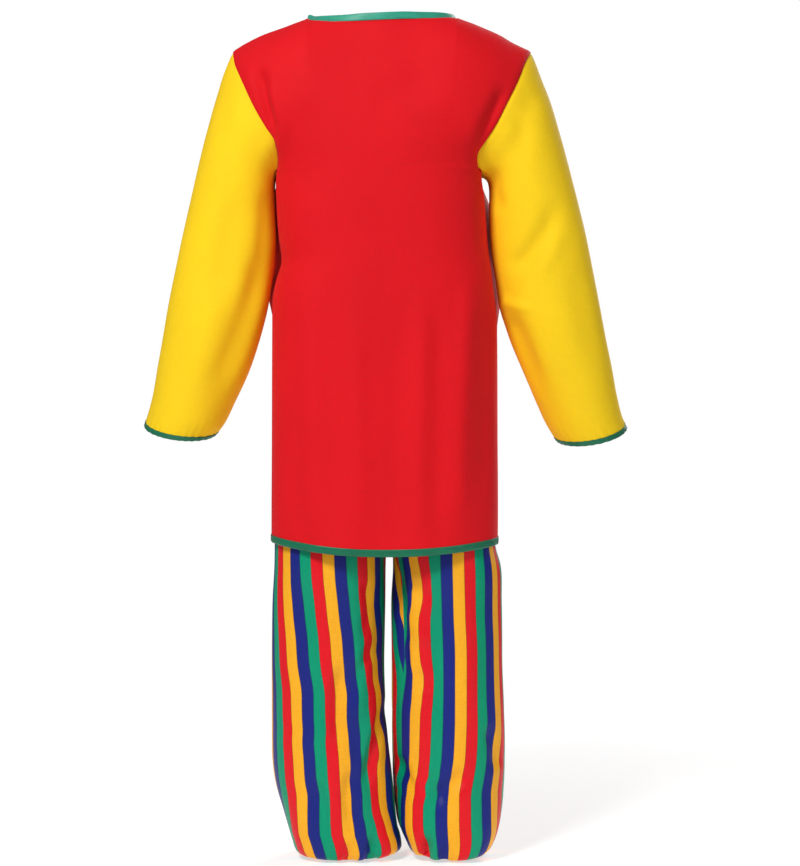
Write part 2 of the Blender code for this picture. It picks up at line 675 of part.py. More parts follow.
def build_tunic():
    """Back, front, sleeves and bindings of the tunic."""
    waist = [read(TORSO, column, WAIST_LEVEL_Z) for column in ("left", "right", "back")]
    quarter = even_quarter((waist[0] + waist[1]) / 2, waist[2], COLUMNS // 2)
    rows = {panel: tunic_rows(panel, quarter) for panel in (BACK, FRONT)}
    sheets, index, normals = {}, {}, {}
    for panel in (BACK, FRONT):
        sheets[panel], index[panel] = sheet_from_rows(rows[panel])
        normals[panel] = sheet_normals(sheets[panel], flip=panel is FRONT)
    offsets = {panel: [-normal * CLOTH for normal in normals[panel]] for panel in (BACK, FRONT)}

    neck_start = SHOULDER_COLUMNS
    neck_end = SHOULDER_COLUMNS + NECK_COLUMNS
    for panel in (BACK, FRONT):
        edge = [index[panel][0][c] for c in range(neck_start + 1)]
        edge += [index[panel][0][c] for c in range(neck_end, COLUMNS + 1)]
        edge += [row[c] for row in index[panel][ARMHOLE_ROWS:] for c in (0, COLUMNS)]
        for i in edge:
            offsets[panel][i] = seam_plane_offset(normals[panel][i])

    for side, column, table in (("left", 0, SLEEVE_LEFT), ("right", COLUMNS, SLEEVE_RIGHT)):
        seam = seam_ring(rows[BACK], rows[FRONT], column)
        rings = sleeve_rings(table, seam, SLEEVE_FOLDS[side])
        closed = [ring + ring[:1] for ring in rings]
        sheet, _ = sheet_from_rows(closed, closed_from=0)
        sleeve_normals = sheet_normals(sheet, flip=side == "right")
        count = len(seam)
        sleeve_offsets = [-normal * CLOTH for normal in sleeve_normals]
        places = seam_places(index, column)
        for j in range(count):
            along = (seam[(j + 1) % count] - seam[j - 1]).normalized()
            body = sum((normals[panel][i] for panel, i in places[j]), Vector()).normalized()
            own = sleeve_normals[j]
            if j in (0, count // 2):
                body = Vector((body.x, 0, body.z)).normalized()
                own = Vector((own.x, 0, own.z)).normalized()
            outwards = rings[1][j] - rings[0][j]
            if outwards.dot(body) < 0:
                shared = (body + own).normalized()
                shared = (shared - along * shared.dot(along)).normalized()
                depth = CLOTH / max(shared.dot(own), LEAST_MITRE)
                sleeve_offsets[j] = -shared * depth
                for panel, i in places[j]:
                    offsets[panel][i] = -shared * depth
            else:
                shared = own
            across = along.cross(shared).normalized()
            if across.dot(outwards) < 0:
                across = -across
            sheet.points[j] = seam[j] + across * SEAM_GAP
        add_wall("sleeve_" + side, sheet, sleeve_offsets, YELLOW)

        cuff = sheet.points[-count:]
        before = sheet.points[-2 * count:-count]
        stations = edge_stations(cuff, sleeve_normals[-count:], before)
        add_binding("cuff_binding_" + side, stations, CUFF_BINDING_WIDTH, GREEN)

    neck = tunic_loop(sheets, index, normals, offsets, 0, 1, neck_start, neck_end)
    add_binding("neck_binding", stand_up(neck), NECK_BINDING_WIDTH, GREEN, NECK_SEAM_GAP)
    hem = tunic_loop(sheets, index, normals, offsets, -1, -2, 0, COLUMNS)
    add_binding("hem_binding", hem, HEM_BINDING_WIDTH, GREEN)
    for panel in (BACK, FRONT):
        add_wall("tunic_" + panel.name, sheets[panel], offsets[panel], RED)


def seam_places(index, column):
    """The panels' own points at each point of the armhole ring."""
    back = [[(BACK, index[BACK][row][column])] for row in range(ARMHOLE_ROWS + 1)]
    front = [[(FRONT, index[FRONT][row][column])] for row in range(ARMHOLE_ROWS + 1)]
    return [back[0] + front[0]] + back[1:-1] + [back[-1] + front[-1]] + front[-2:0:-1]


def tunic_loop(sheets, index, normals, offsets, row, next_row, first, last):
    """Stations round the neckline or the hem: across the back, then back over the front.

    The walls end square to their binding, so they take its directions as their offsets.
    """
    places = [[(BACK, first), (FRONT, first)]]
    places += [[(BACK, column)] for column in range(first + 1, last)]
    places += [[(BACK, last), (FRONT, last)]]
    places += [[(FRONT, column)] for column in range(last - 1, first, -1)]

    def mean(values):
        return sum(values, Vector()) / len(values)

    stations = edge_stations(
        [mean([sheets[p].points[index[p][row][c]] for p, c in place]) for place in places],
        [mean([normals[p][index[p][row][c]] for p, c in place]) for place in places],
        [mean([sheets[p].points[index[p][next_row][c]] for p, c in place]) for place in places])
    for place, station in zip(places, stations):
        for panel, column in place:
            offsets[panel][index[panel][row][column]] = -station.normal * CLOTH
    return stations


def build_trousers():
    """The two legs, each one piece from the waist to the ankle."""
    closed_from = [ring.z for ring in LEGS].index(CROTCH_Z)
    for side in ("left", "right"):
        rows = [leg_row(ring, side) for ring in LEGS]
        sheet, _ = sheet_from_rows(rows, closed_from)
        normals = sheet_normals(sheet, flip=side == "left")
        add_wall("trouser_leg_" + side, sheet, [-normal * CLOTH for normal in normals],
                 STRIPE_GREEN)


for leftover in list(bpy.data.objects):
    bpy.data.objects.remove(leftover)
COSTUME = bpy.data.collections.new("clown_costume")
bpy.context.scene.collection.children.link(COSTUME)
build_tunic()
build_trousers()
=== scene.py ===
"""Looks of a child's clown costume that keeps its worn shape with nobody in it.

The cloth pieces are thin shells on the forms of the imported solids, with their seams, creases,
puckers and gathers. Tables and named sizes are in millimetres. Metres, +Z up, the costume's
back faces -Y, and the wearer's left is at -X.
"""
import math
from collections import namedtuple

import bpy
import numpy as np
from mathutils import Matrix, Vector, noise


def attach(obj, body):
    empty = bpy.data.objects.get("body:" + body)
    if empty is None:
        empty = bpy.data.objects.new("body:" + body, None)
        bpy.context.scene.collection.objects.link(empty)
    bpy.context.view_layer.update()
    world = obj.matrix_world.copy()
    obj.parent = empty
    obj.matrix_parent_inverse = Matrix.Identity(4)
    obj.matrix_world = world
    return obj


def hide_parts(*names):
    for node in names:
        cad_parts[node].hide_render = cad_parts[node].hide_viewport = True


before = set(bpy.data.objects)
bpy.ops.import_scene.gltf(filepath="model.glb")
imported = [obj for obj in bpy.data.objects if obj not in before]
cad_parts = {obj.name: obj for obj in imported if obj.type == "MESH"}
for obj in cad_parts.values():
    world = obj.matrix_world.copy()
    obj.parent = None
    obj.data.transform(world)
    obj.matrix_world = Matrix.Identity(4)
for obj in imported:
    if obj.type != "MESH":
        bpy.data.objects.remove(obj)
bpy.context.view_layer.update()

MM = 0.001
BODY = "root"
OUTWARDS = {"left": -1, "right": 1}


def named(kind, values):
    """A table's rows as named tuples of one kind."""
    return [kind(*value) for value in values]


# Cloth and seams
CLOTH = 1.2
SEAM_GAP = 0.3
DITCH_DEPTH = 0.9
DITCH_WIDTH = 2.2
NECK_DITCH_FROM = 2.7
NECK_DITCH_SHARE = 1.7
NECK_BINDING_WIDTH = 8.0
HEM_BINDING_WIDTH = 8.0
CUFF_BINDING_WIDTH = 6.0

# Tunic: half-widths to each side of the middle and depths to the back and the front.
# Above the armpits the widths are those of the rounded section that the armhole cuts.
SIDE_POWER = 2.8
ARMPIT_Z = -195.0
WAIST_LEVEL_Z = -325
TorsoLevel = namedtuple("TorsoLevel", "z left right back front")
TORSO = named(TorsoLevel, [
    (-670, 139.5, 142.0, 101, 102),
    (-560, 139.5, 142.0, 98, 99),
    (-450, 139.5, 142.0, 95, 97),
    (-375, 139.5, 141.5, 93, 96),
    (-350, 139.0, 139.0, 93, 96),
    (-325, 134.0, 135.0, 93, 96),
    (-302, 127.5, 132.0, 93, 96),
    (-275, 130.5, 130.0, 93, 95),
    (-235, 132.5, 127.0, 94, 95),
    (-195, 134.0, 121.0, 94, 94),
    (-190, 134.5, 121.5, 94, 94),
    (-178, 137.0, 123.5, 94, 94),
    (-160, 150.0, 141.0, 94, 93),
    (-144, 166.0, 157.0, 93, 93),
    (-129, 177.0, 167.0, 93, 92),
    (-112, 184.0, 173.0, 92, 91),
    (-92, 192.0, 182.0, 90, 90),
    (-60, 196.0, 187.0, 88, 88),
    (0, 198.0, 190.0, 85, 86),
])

# Shoulder line from the neck to the tip, by distance from the middle
EdgePoint = namedtuple("EdgePoint", "z left right")
SHOULDER = named(EdgePoint, [
    (-1, 94, 92),
    (-6, 110, 108),
    (-11, 124, 121),
    (-20, 150, 143),
    (-30, 171, 161),
    (-40, 189, 184),
])
SHOULDER_ROUNDING = 120.0
SHOULDER_POWER = 2.2
NECK_LEAN = 150.0
NECK_CORNER = 0.25
NECK_BLUR = 60.0

# Armhole seam by distance from the middle, tip to armpit
ARMHOLE = named(EdgePoint, [
    (-40, 189.0, 184.0),
    (-60, 185.0, 175.0),
    (-77, 178.0, 168.5),
    (-92, 171.3, 162.2),
    (-112, 162.0, 152.3),
    (-129, 153.0, 144.0),
    (-144, 144.0, 136.0),
    (-160, 134.0, 125.5),
    (-178, 131.0, 115.6),
    (-190, 132.0, 117.0),
    (-195, 134.0, 121.0),
])

# Neckline of each panel, and its side of the costume
Panel = namedtuple("Panel", "name sign neck_depth neck_drop droop")
BACK = Panel(name="back", sign=-1, neck_depth=60, neck_drop=9, droop=0.45)
FRONT = Panel(name="front", sign=1, neck_depth=75, neck_drop=55, droop=0.0)

TORSO_MIDDLE = (0, 0, -300)

# How far the neck binding is turned up from the cloth's own direction
NECK_STAND = 1.6
CORNER_REACH = 9.0

# Bulges of the panels' sides towards the sleeves: height up, and depth from the side seam
SideFold = namedtuple("SideFold", "z length depth width height")
SIDE_FOLDS = {
    ("back", "left"): SideFold(z=-210, length=65, depth=33, width=15, height=2.0),
    ("front", "left"): SideFold(z=-283, length=82, depth=38, width=20, height=16.0),
    ("front", "right"): SideFold(z=-290, length=82, depth=38, width=21, height=15.0),
}
SIDE_FOLD_START = 14.0
SIDE_FOLD_OUT = 0.96
SIDE_FOLD_BACK = 0.28
SOFTENING = 13.0

# Hem of the tunic's cloth, above its binding
HEM_SIDE_Z = -640.8
HEM_MIDDLE_DROP = 17.0
HEM_HALF_WIDTH = 142.0

# Soft upright folds in the tunic's skirt
DRAPE_TOP_Z = -320.0
DRAPE_LENGTH = 300.0
DRAPE_DEPTH = 2.2
DRAPE_WAVES = 3.5

# Fine grid of a tunic panel
SHOULDER_COLUMNS = 24
NECK_COLUMNS = 48
COLUMNS = 2 * SHOULDER_COLUMNS + NECK_COLUMNS
SEAM_COLUMNS = (0.25, 0.5)
ARMHOLE_ROWS = 52
SKIRT_ROWS = 112
FINE_STEPS = 720

# Sleeves: each ring's outer and inner ends, half-depth front to back, how far forward
# its middle is, and its forward tilt in degrees
SleeveRing = namedtuple("SleeveRing", "outer_x outer_z inner_x inner_z depth y tilt")
SLEEVE_RIGHT = named(SleeveRing, [
    (188, -53, 123.5, -195.8, 61, 0, 0),
    (197, -77, 126.5, -197.5, 60, 0, 0),
    (207, -102, 129, -201, 58, 0, 0),
    (217, -134, 130.7, -208, 56, 0, 0),
    (228, -172, 131.2, -223, 54, 0, 0),
    (240, -217, 131.2, -248, 52, 0, 0),
    (252, -267, 133.2, -283, 51, 0, 1),
    (262, -318, 139.5, -325, 51, 1, 4),
    (271, -363, 145.5, -365, 51, 4, 9),
    (278, -396, 157, -400, 51, 10, 13),
    (286, -430, 173, -437, 50, 18, 16),
    (294, -468, 191, -476, 49, 29, 17),
    (302, -496, 207, -508, 47, 37, 17),
    (305.5, -504.5, 215.5, -520.5, 46, 40, 17),
])
SLEEVE_LEFT = named(SleeveRing, [
    (-193.5, -53, -134.8, -196, 61, 0, 0),
    (-203, -77, -135.5, -198, 60, 0, 0),
    (-211, -102, -136.2, -202, 58, 0, 0),
    (-219.5, -134, -136.5, -209, 56, 0, 0),
    (-229, -172, -136.5, -224, 54, 0, 0),
    (-239.5, -217, -135.8, -248, 52, 0, 0),
    (-251, -267, -135.0, -283, 51, 0, 1),
    (-261.5, -318, -138.6, -323, 51, 1, 4),
    (-270.5, -363, -146, -365, 51, 4, 9),
    (-277, -396, -156, -400, 51, 10, 13),
    (-284.5, -430, -169, -437, 50, 18, 16),
    (-292.5, -468, -186.5, -474, 49, 29, 17),
    (-300, -493.5, -203.5, -506, 47, 37, 17),
    (-302.5, -501.5, -210, -513.5, 46, 40, 17),
])
HEAD_SHARE = (0.85, 0.6, 0.35, 0.15, 0.05)
ARMHOLE_HALF_DEPTH = 62.0
SLEEVE_HEAD = 14.0
SLEEVE_ROWS = 118

# Trousers: each ring's inner and outer ends on both legs, half-depth, and how far its
# ends are lifted. Above the crotch the inner end lies past the middle, where the seam
# cuts the section.
WAIST_Z = -345.0
CROTCH_Z = -600.0
CROTCH_X = 6.5
CROTCH_BLEND = 20.0
SEAM_BLEND = 10.0
LEG_POWER = 2.3
BLOUSE_POWER = 3.1
BLOUSE_TOP_Z = -960.0
BLOUSE_LENGTH = 60.0
UNDER_TUNIC = 1.6
TUCK_LENGTH = 12.0
CREASES_START = 5.0
CREASES_GROWTH = 25.0
LEG_COLUMNS = 168
LEG_ROWS = 196
LegRing = namedtuple("LegRing", "z left_inner left_outer right_inner right_outer depth lift")
LEGS = named(LegRing, [
    (-345, 105, -105, -105, 106, 80, 0),
    (-371, 107, -108, -106, 109, 81, 0),
    (-408, 117, -118, -116, 120, 84, 0),
    (-455, 116, -128, -112, 130, 87, 0),
    (-500, 88, -133, -76, 136, 87, 0),
    (-540, 56, -136.5, -43, 139, 86, 0),
    (-570, 31, -137.3, -18, 139.9, 85, 0),
    (-590, 16, -137.3, -3, 139.9, 84, 0),
    (-600, 6.2, -137.2, 6.8, 139.8, 83.5, 0),
    (-638, 4.5, -136.6, 8.5, 139.0, 82, 0),
    (-656, 3.5, -136.3, 10, 139.0, 81, 0),
    (-680, 2.5, -136.5, 11, 145.3, 80, 0),
    (-725, 1.9, -138.8, 8.8, 147, 75, 0),
    (-765, 1.2, -139.6, 9.0, 147.8, 72, 0),
    (-806, 0.6, -140, 9.4, 148, 70, 0),
    (-850, 2, -140, 9.7, 149.4, 68, 0),
    (-890, 4, -140, 10.4, 150.4, 67, 0),
    (-925, 7, -139.2, 12, 150.5, 66, 0),
    (-955, 9.5, -134.5, 14, 149.3, 66, 0),
    (-982, 12, -126, 16.2, 147, 65.5, 0),
    (-1006, 16, -118.5, 20, 142.5, 64, 0),
    (-1023, 21, -113.5, 27, 137, 62, 1),
    (-1034, 21, -110, 32, 131, 59, 2),
    (-1040, 13, -104, 39, 123, 53, 3),
    (-1036, 5, -94, 43, 118, 45, 3),
    (-1022, 0, -85, 43, 117, 39, 0),
    (-1004, -2, -83, 44, 116, 37, 0),
])

# Stripes: their width, their order from the wearer's side inwards, and where the edge of
# the second red stripe lies across the back of each leg. Sway is how far the stripes near
# the inside leg wander towards the wearer's side.
STRIPE_WIDTH = 14.5
STRIPE_ORDER = ("green", "red", "yellow", "blue")
REFERENCE_EDGE = {"left": 6, "right": 2}
StripeLine = namedtuple("StripeLine", "z left right left_sway right_sway")
STRIPE_LINES = named(StripeLine, [
    (-670, -74.1, 97.7, 0.0, 0.0),
    (-695, -72.9, 98.3, 0.0, 4.5),
    (-719, -70.4, 98.9, 2.0, 5.5),
    (-743, -68.0, 99.5, 0.5, 0.5),
    (-767, -65.0, 100.7, -1.0, -1.0),
    (-792, -63.2, 101.3, 2.0, 0.5),
    (-816, -60.7, 101.3, 3.5, 4.5),
    (-840, -58.9, 101.3, 1.0, 3.0),
    (-864, -58.9, 101.3, -1.0, 0.5),
    (-889, -57.1, 100.7, -1.0, 0.0),
    (-913, -54.7, 99.5, 0.5, 0.0),
    (-937, -53.5, 95.9, 5.5, 0.0),
    (-961, -52.2, 92.2, 5.5, -1.0),
    (-990, -51.0, 92.2, 2.5, -1.5),
    (-1016, -48.6, 93.4, 0.0, 0.0),
])
FREE_STRIPES_Z = -1006
SWAY_FROM = 25
SWAY_GROWTH = 30

# Where the cloth inside of a fold line on the right leg's back has slipped across, by how
# many stripes at its lower end
NO_SLIP = -10.0
Slip = namedtuple("Slip", "line start length stripes")
SLIP = Slip(((17.6, -620), (17.6, -670), (23.6, -719), (26, -792), (22, -835), (8, -872)),
            -620, 230, 4.0)

# Largest folds of the sleeves and legs: troughs, or ridges where the depth is negative.
# The turn is the share of the way round, lean is how much it changes per millimetre up.
# A sleeve's turn starts at its outer line and a leg's at its inside seam, back first.
Fold = namedtuple("Fold", "turn z length width depth lean")
SLEEVE_GIRTH = 350.0
SLEEVE_FOLDS = {
    "left": named(Fold, [
        (0.38, -355, 70, 15, 3.0, 0.0002),
        (0.28, -330, 90, 18, 2.0, -0.0003),
        (0.62, -350, 60, 18, 3.5, 0.0),
    ]),
    "right": named(Fold, [
        (0.34, -315, 45, 16, 4.0, -0.0022),
        (0.40, -400, 55, 18, 3.5, 0.0004),
        (0.62, -345, 60, 18, 3.5, 0.0),
    ]),
}
LEG_GIRTH = 450.0
LEG_FOLDS = {
    "left": named(Fold, [
        (0.16, -905, 45, 16, 5.0, 0.0006),
        (0.30, -965, 25, 20, 3.5, 0.0),
        (0.08, -760, 60, 15, 4.0, 0.0),
        (0.62, -950, 35, 20, 4.5, 0.0004),
        (0.82, -900, 50, 18, 4.5, -0.0005),
        (0.92, -760, 70, 16, 4.0, 0.0),
        (0.04, -962, 58, 15, -3.6, 0.0),
    ]),
    "right": named(Fold, [
        (0.96, -962, 58, 15, -3.6, 0.0),
        (0.20, -955, 35, 18, 5.0, -0.0012),
        (0.07, -940, 40, 16, 4.0, 0.0),
        (0.09, -735, 60, 15, 4.0, 0.0),
        (0.64, -945, 35, 20, 4.5, -0.0004),
        (0.80, -915, 50, 18, 4.5, 0.0005),
        (0.93, -750, 70, 16, 4.0, 0.0),
    ]),
}

# Smaller creases, listed one by one: a path of (x, z) points over the back or the front, the
# width of the trough and its depth, negative for a ridge
Crease = namedtuple("Crease", "path width depth")
TUNIC_CREASES = {
    "back": named(Crease, [
        (((-152, -64), (-149, -92), (-141, -124), (-129, -165)), 8, 8.0),
        (((-142, -84), (-135, -112), (-126, -150), (-122, -205)), 7, -3.4),
        (((153, -88), (141, -118), (127, -146), (117, -178)), 11, 6.0),
        (((130, -86), (116, -130), (106, -185), (106, -260)), 16, -1.0),
        (((-94, -310), (-90, -420), (-86, -540), (-84, -690)), 15, -2.6),
        (((-66, -320), (-62, -430), (-60, -540), (-58, -690)), 14, 2.2),
        (((-30, -330), (-32, -450), (-28, -560), (-30, -690)), 15, -2.6),
        (((20, -330), (18, -440), (16, -560), (14, -690)), 15, 2.2),
        (((46, -320), (46, -430), (42, -550), (40, -690)), 12, -2.4),
        (((68, -330), (66, -440), (64, -560), (62, -690)), 11, 2.2),
        (((108, -300), (98, -400), (92, -520), (89, -690)), 12, -4.6),
        (((134, -310), (129, -400), (125, -520), (122, -690)), 13, 3.8),
        (((-84, -100), (-96, -170), (-102, -250)), 24, 2.8),
        (((118, -215), (122, -260), (126, -310)), 10, 2.4),
        (((64, -70), (30, -104), (-24, -112)), 22, 2.6),
    ]),
    "front": named(Crease, [
        (((-150, -76), (-140, -112), (-128, -160)), 11, 5.5),
        (((146, -76), (134, -112), (120, -160)), 12, 5.5),
        (((-72, -95), (-42, -150), (-28, -235)), 24, 3.0),
        (((72, -100), (48, -160), (34, -245)), 22, 2.6),
        (((-126, -310), (-120, -420), (-116, -540), (-116, -690)), 13, 3.4),
        (((-96, -300), (-88, -420), (-84, -540), (-82, -690)), 14, -4.2),
        (((-52, -340), (-48, -450), (-46, -560), (-44, -690)), 14, 2.4),
        (((-14, -330), (-10, -450), (-8, -560), (-8, -690)), 14, -2.8),
        (((26, -330), (30, -440), (30, -560), (32, -690)), 14, 2.2),
        (((64, -320), (66, -430), (62, -550), (62, -690)), 13, -3.0),
        (((102, -310), (98, -430), (96, -560), (94, -690)), 14, 2.4),
    ]),
}
SLEEVE_CREASES = {
    ("left", "back"): named(Crease, [
        (((-152, -285), (-158, -331), (-186, -410), (-216, -489)), 14, 5.0),
        (((-146, -205), (-148, -262), (-152, -318)), 9, 2.4),
        (((-176, -215), (-196, -290), (-214, -360)), 18, 2.8),
        (((-200, -330), (-222, -410), (-246, -480)), 15, -2.2),
        (((-198, -70), (-200, -120), (-194, -185)), 16, 1.8),
    ]),
    ("left", "front"): named(Crease, [
        (((-160, -215), (-184, -290), (-212, -360)), 18, 3.8),
        (((-150, -328), (-184, -345), (-226, -338)), 11, 4.2),
        (((-152, -346), (-188, -364), (-230, -358)), 8, -2.4),
        (((-156, -364), (-190, -384), (-232, -380)), 11, 3.6),
        (((-196, -430), (-214, -474), (-230, -503)), 15, 3.0),
    ]),
    ("right", "back"): named(Crease, [
        (((180, -88), (172, -140), (160, -190)), 14, 3.0),
        (((136, -186), (137, -215), (144, -250)), 8, 3.4),
        (((214, -226), (200, -268), (176, -300), (148, -318)), 13, 4.6),
        (((216, -262), (204, -296), (184, -330)), 12, -2.0),
        (((142, -350), (160, -358), (186, -366)), 7, -3.2),
        (((150, -368), (164, -388), (180, -430), (198, -480)), 12, 5.0),
        (((232, -300), (244, -370), (262, -440)), 16, 2.0),
    ]),
    ("right", "front"): named(Crease, [
        (((160, -215), (184, -290), (212, -350)), 18, 3.6),
        (((150, -334), (186, -350), (228, -345)), 11, 4.2),
        (((152, -352), (188, -368), (232, -362)), 8, -2.4),
        (((158, -370), (192, -390), (238, -384)), 11, 3.6),
        (((200, -436), (218, -480), (232, -508)), 15, 3.0),
    ]),
}
LEG_CREASES = {
    ("left", "back"): named(Crease, [
        (((2, -842), (-6, -878), (-17, -916), (-26, -962)), 7, 5.5),
        (((-10, -850), (-24, -905), (-38, -960)), 9, -2.4),
        (((-48, -790), (-56, -848), (-52, -910)), 12, 9.0),
        (((-34, -918), (-44, -960), (-38, -1008)), 10, 8.0),
        (((-22, -690), (-16, -730), (-22, -775)), 8, 4.2),
        (((-34, -770), (-24, -800), (-30, -840)), 8, -3.0),
        (((-12, -768), (-30, -812), (-47, -858)), 8, 4.5),
        (((-98, -670), (-92, -780), (-84, -890)), 16, 4.5),
        (((-84, -930), (-74, -980), (-72, -1024)), 12, 4.6),
        (((-12, -1004), (-16, -1034), (-18, -1078)), 6, 8.0),
        (((-46, -1012), (-44, -1040), (-43, -1078)), 6, 5.0),
    ]),
    ("left", "front"): named(Crease, [
        (((0, -842), (-14, -890), (-24, -960)), 9, 5.0),
        (((-60, -790), (-62, -850), (-56, -910)), 13, 4.6),
        (((-90, -920), (-84, -965), (-88, -1005)), 13, 4.2),
        (((-40, -700), (-34, -760), (-38, -830)), 12, 3.2),
        (((-104, -700), (-98, -790), (-102, -880)), 16, 2.6),
    ]),
    ("right", "back"): named(Crease, [
        (((17.6, -670), (23.6, -719), (26, -792), (23.6, -850)), 5, 5.0),
        (((34, -690), (44, -712), (58, -720)), 8, 3.6),
        (((36, -738), (46, -764), (60, -772)), 8, -3.2),
        (((36, -800), (48, -824), (62, -828)), 8, 3.6),
        (((16, -912), (26, -936), (38, -962)), 8, 4.8),
        (((56, -968), (80, -948), (106, -926)), 11, 7.0),
        (((126, -870), (137, -905), (142, -934)), 8, 4.6),
        (((66, -680), (64, -780), (66, -890)), 15, 4.2),
        (((98, -690), (104, -790), (100, -890)), 15, -3.4),
        (((54, -1002), (51, -1034), (50, -1078)), 6, 8.5),
        (((76, -1014), (74, -1040), (74, -1078)), 6, 4.0),
    ]),
    ("right", "front"): named(Crease, [
        (((16, -842), (28, -890), (36, -960)), 9, 5.0),
        (((72, -790), (74, -850), (68, -910)), 13, 4.6),
        (((104, -925), (98, -968), (104, -1005)), 13, 4.2),
        (((50, -700), (44, -760), (48, -830)), 12, 3.2),
        (((114, -700), (108, -790), (112, -880)), 16, 2.6),
    ]),
}

# Creases: how far in from a panel's sides they reach their depth, the share of their length
# over which they fade in, how much their lips rise, how far they spread, and how soon and
# how far round a tube's creases fade where it turns away
CREASE_INSET = 12.0
CREASE_ENDS = 0.3
CREASE_LIPS = 0.4
CREASE_SPREAD = 1.4
FACING = 0.6
SLEEVE_WRAP = 0.25
LEG_WRAP = 0.3

# Gathers into the elastic and puckers at the bindings
ANKLE_GATHERS = 34
ANKLE_GATHER_DEPTH = 2.4
ANKLE_GATHER_LENGTH = 34.0
WAIST_GATHERS = 40
WAIST_GATHER_DEPTH = 1.6
WAIST_GATHER_LENGTH = 60.0
CUFF_PUCKERS = 29
CUFF_PUCKER_DEPTH = 1.5
CUFF_PUCKER_LENGTH = 9.0
CUFF_EDGE = 2.0
CUFF_EDGE_CALM = 0.8
NECK_PUCKERS = 13
HEM_PUCKERS = 34
HEM_PUCKER_DEPTH = 0.35
HEM_PUCKER_LENGTH = 12.0
UNEVEN_SIZE = 85.0
UNEVEN_DEPTH = 0.9
UNEVEN_UPRIGHT = 0.6
UNEVEN_INSET = 20.0

# Seeds of the uneven cloth and of the ripples
TUNIC_SEED = 3.7
WAIST_SEED = 5.3
SLEEVE_SEEDS = {"left": (11.3, 1.7), "right": (17.9, 4.1)}
LEG_SEEDS = {"left": (23.1, 0.8), "right": (31.7, 2.9)}

# Stitches of the bindings
STITCH_STEP = 3.0
STITCH_LENGTH = 2.2
STITCH_RADIUS = 0.2
STITCH_INSET = 1.5
STITCH_OUT = 1.45
STITCH_SIDES = 6
STITCH_PROFILE = ((-0.5, 0.2), (-0.36, 1.0), (0.0, 1.25), (0.36, 1.0), (0.5, 0.2))

# Camera of the photograph, 800 by 866 pixels at 1.25 millimetres a pixel
CAMERA_PLACE = (0.020, -2.6, -0.51625)
CAMERA_LENS = 86.47

# Colours in linear light
RED = (0.72, 0.006, 0.012)
YELLOW = (0.99, 0.655, 0.012)
GREEN = (0.004, 0.15, 0.072)
# The neck binding's green is the same tape's green made lighter: painted light falling on it from
# above
NECK_GREEN_PAINTED_LIGHT = (0.028, 0.34, 0.225)
THREAD_GREEN = (0.008, 0.26, 0.15)
STRIPES = {
    "green": (0.001, 0.31, 0.16),
    "red": (0.76, 0.008, 0.016),
    "yellow": (0.94, 0.43, 0.018),
    "blue": (0.011, 0.020, 0.21),
}
WHITE = (1, 1, 1, 1)

# Threads: how fine their slubs and the patches of shade are, along and across, per metre
WARP_SLUBS = (1100, 60, 1)
WEFT_SLUBS = (60, 900, 1)
CLOTH_PATCHES = (14, 9, 1)
TAPE_SLUBS = (1500, 120, 1)
TAPE_PATCHES = (45, 160, 1)
SLUB_RANGE = (0.7, 1.3)
WAVE_TURN = 6.28
THREAD_RELIEF = 0.0002
STRIPE_LINE = 0.045
STRIPE_LINE_SHADE = 0.35

# Studio
FLOOR_Z = -1.043
FLOOR_RADIUS = 1.4
FLOOR_GREY = (0.6, 0.6, 0.6)
FLOOR_GLOW = 0.56
STUDIO_LIGHT = 0.17


def smooth_value(points, at):
    """Value at a position on the smooth curve through sorted (position, value) points."""
    if at <= points[0][0]:
        return points[0][1]
    if at >= points[-1][0]:
        return points[-1][1]
    index = max(i for i in range(len(points) - 1) if points[i][0] <= at)

    def rise(i):
        return (points[i + 1][1] - points[i][1]) / (points[i + 1][0] - points[i][0])

    def slope(i):
        if i == 0:
            return rise(0)
        if i == len(points) - 1:
            return rise(i - 1)
        before, after = rise(i - 1), rise(i)
        return 0 if before * after <= 0 else 2 * before * after / (before + after)

    span = points[index + 1][0] - points[index][0]
    share = (at - points[index][0]) / span
    start, end = points[index][1], points[index + 1][1]
    return (start * (1 + 2 * share) * (1 - share) ** 2
            + end * share ** 2 * (3 - 2 * share)
            + span * slope(index) * share * (1 - share) ** 2
            - span * slope(index + 1) * share ** 2 * (1 - share))


def read(table, column, at, key="z"):
    """Value of a table's column where its key column has the given value."""
    return smooth_value(sorted((getattr(row, key), getattr(row, column)) for row in table), at)


def ease(share):
    """A share, or an array of them, eased at both ends."""
    share = np.clip(share, 0, 1)
    return share * share * (3 - 2 * share)


def unit(vectors):
    """Vectors of an array at length 1."""
    length = np.linalg.norm(vectors, axis=-1, keepdims=True)
    return vectors / np.maximum(length, 1e-9)


# Grids of points: arrays of rows by columns by (x, y, z)

def lengths_along(grid, axis):
    """Distance along each row (axis 1) or column (axis 0) of a grid from its start."""
    steps = np.linalg.norm(np.diff(grid, axis=axis), axis=2)
    start = np.zeros_like(np.take(steps, [0], axis=axis))
    return np.concatenate([start, np.cumsum(steps, axis=axis)], axis=axis)


def grid_normals(grid, outwards_at):
    """Normals of a grid, turned away from the given inner points."""
    along = np.gradient(grid, axis=0)
    across = np.gradient(grid, axis=1)
    normals = unit(np.cross(across, along))
    outwards = (normals * (grid - outwards_at)).sum(axis=2).mean()
    return normals if outwards > 0 else -normals


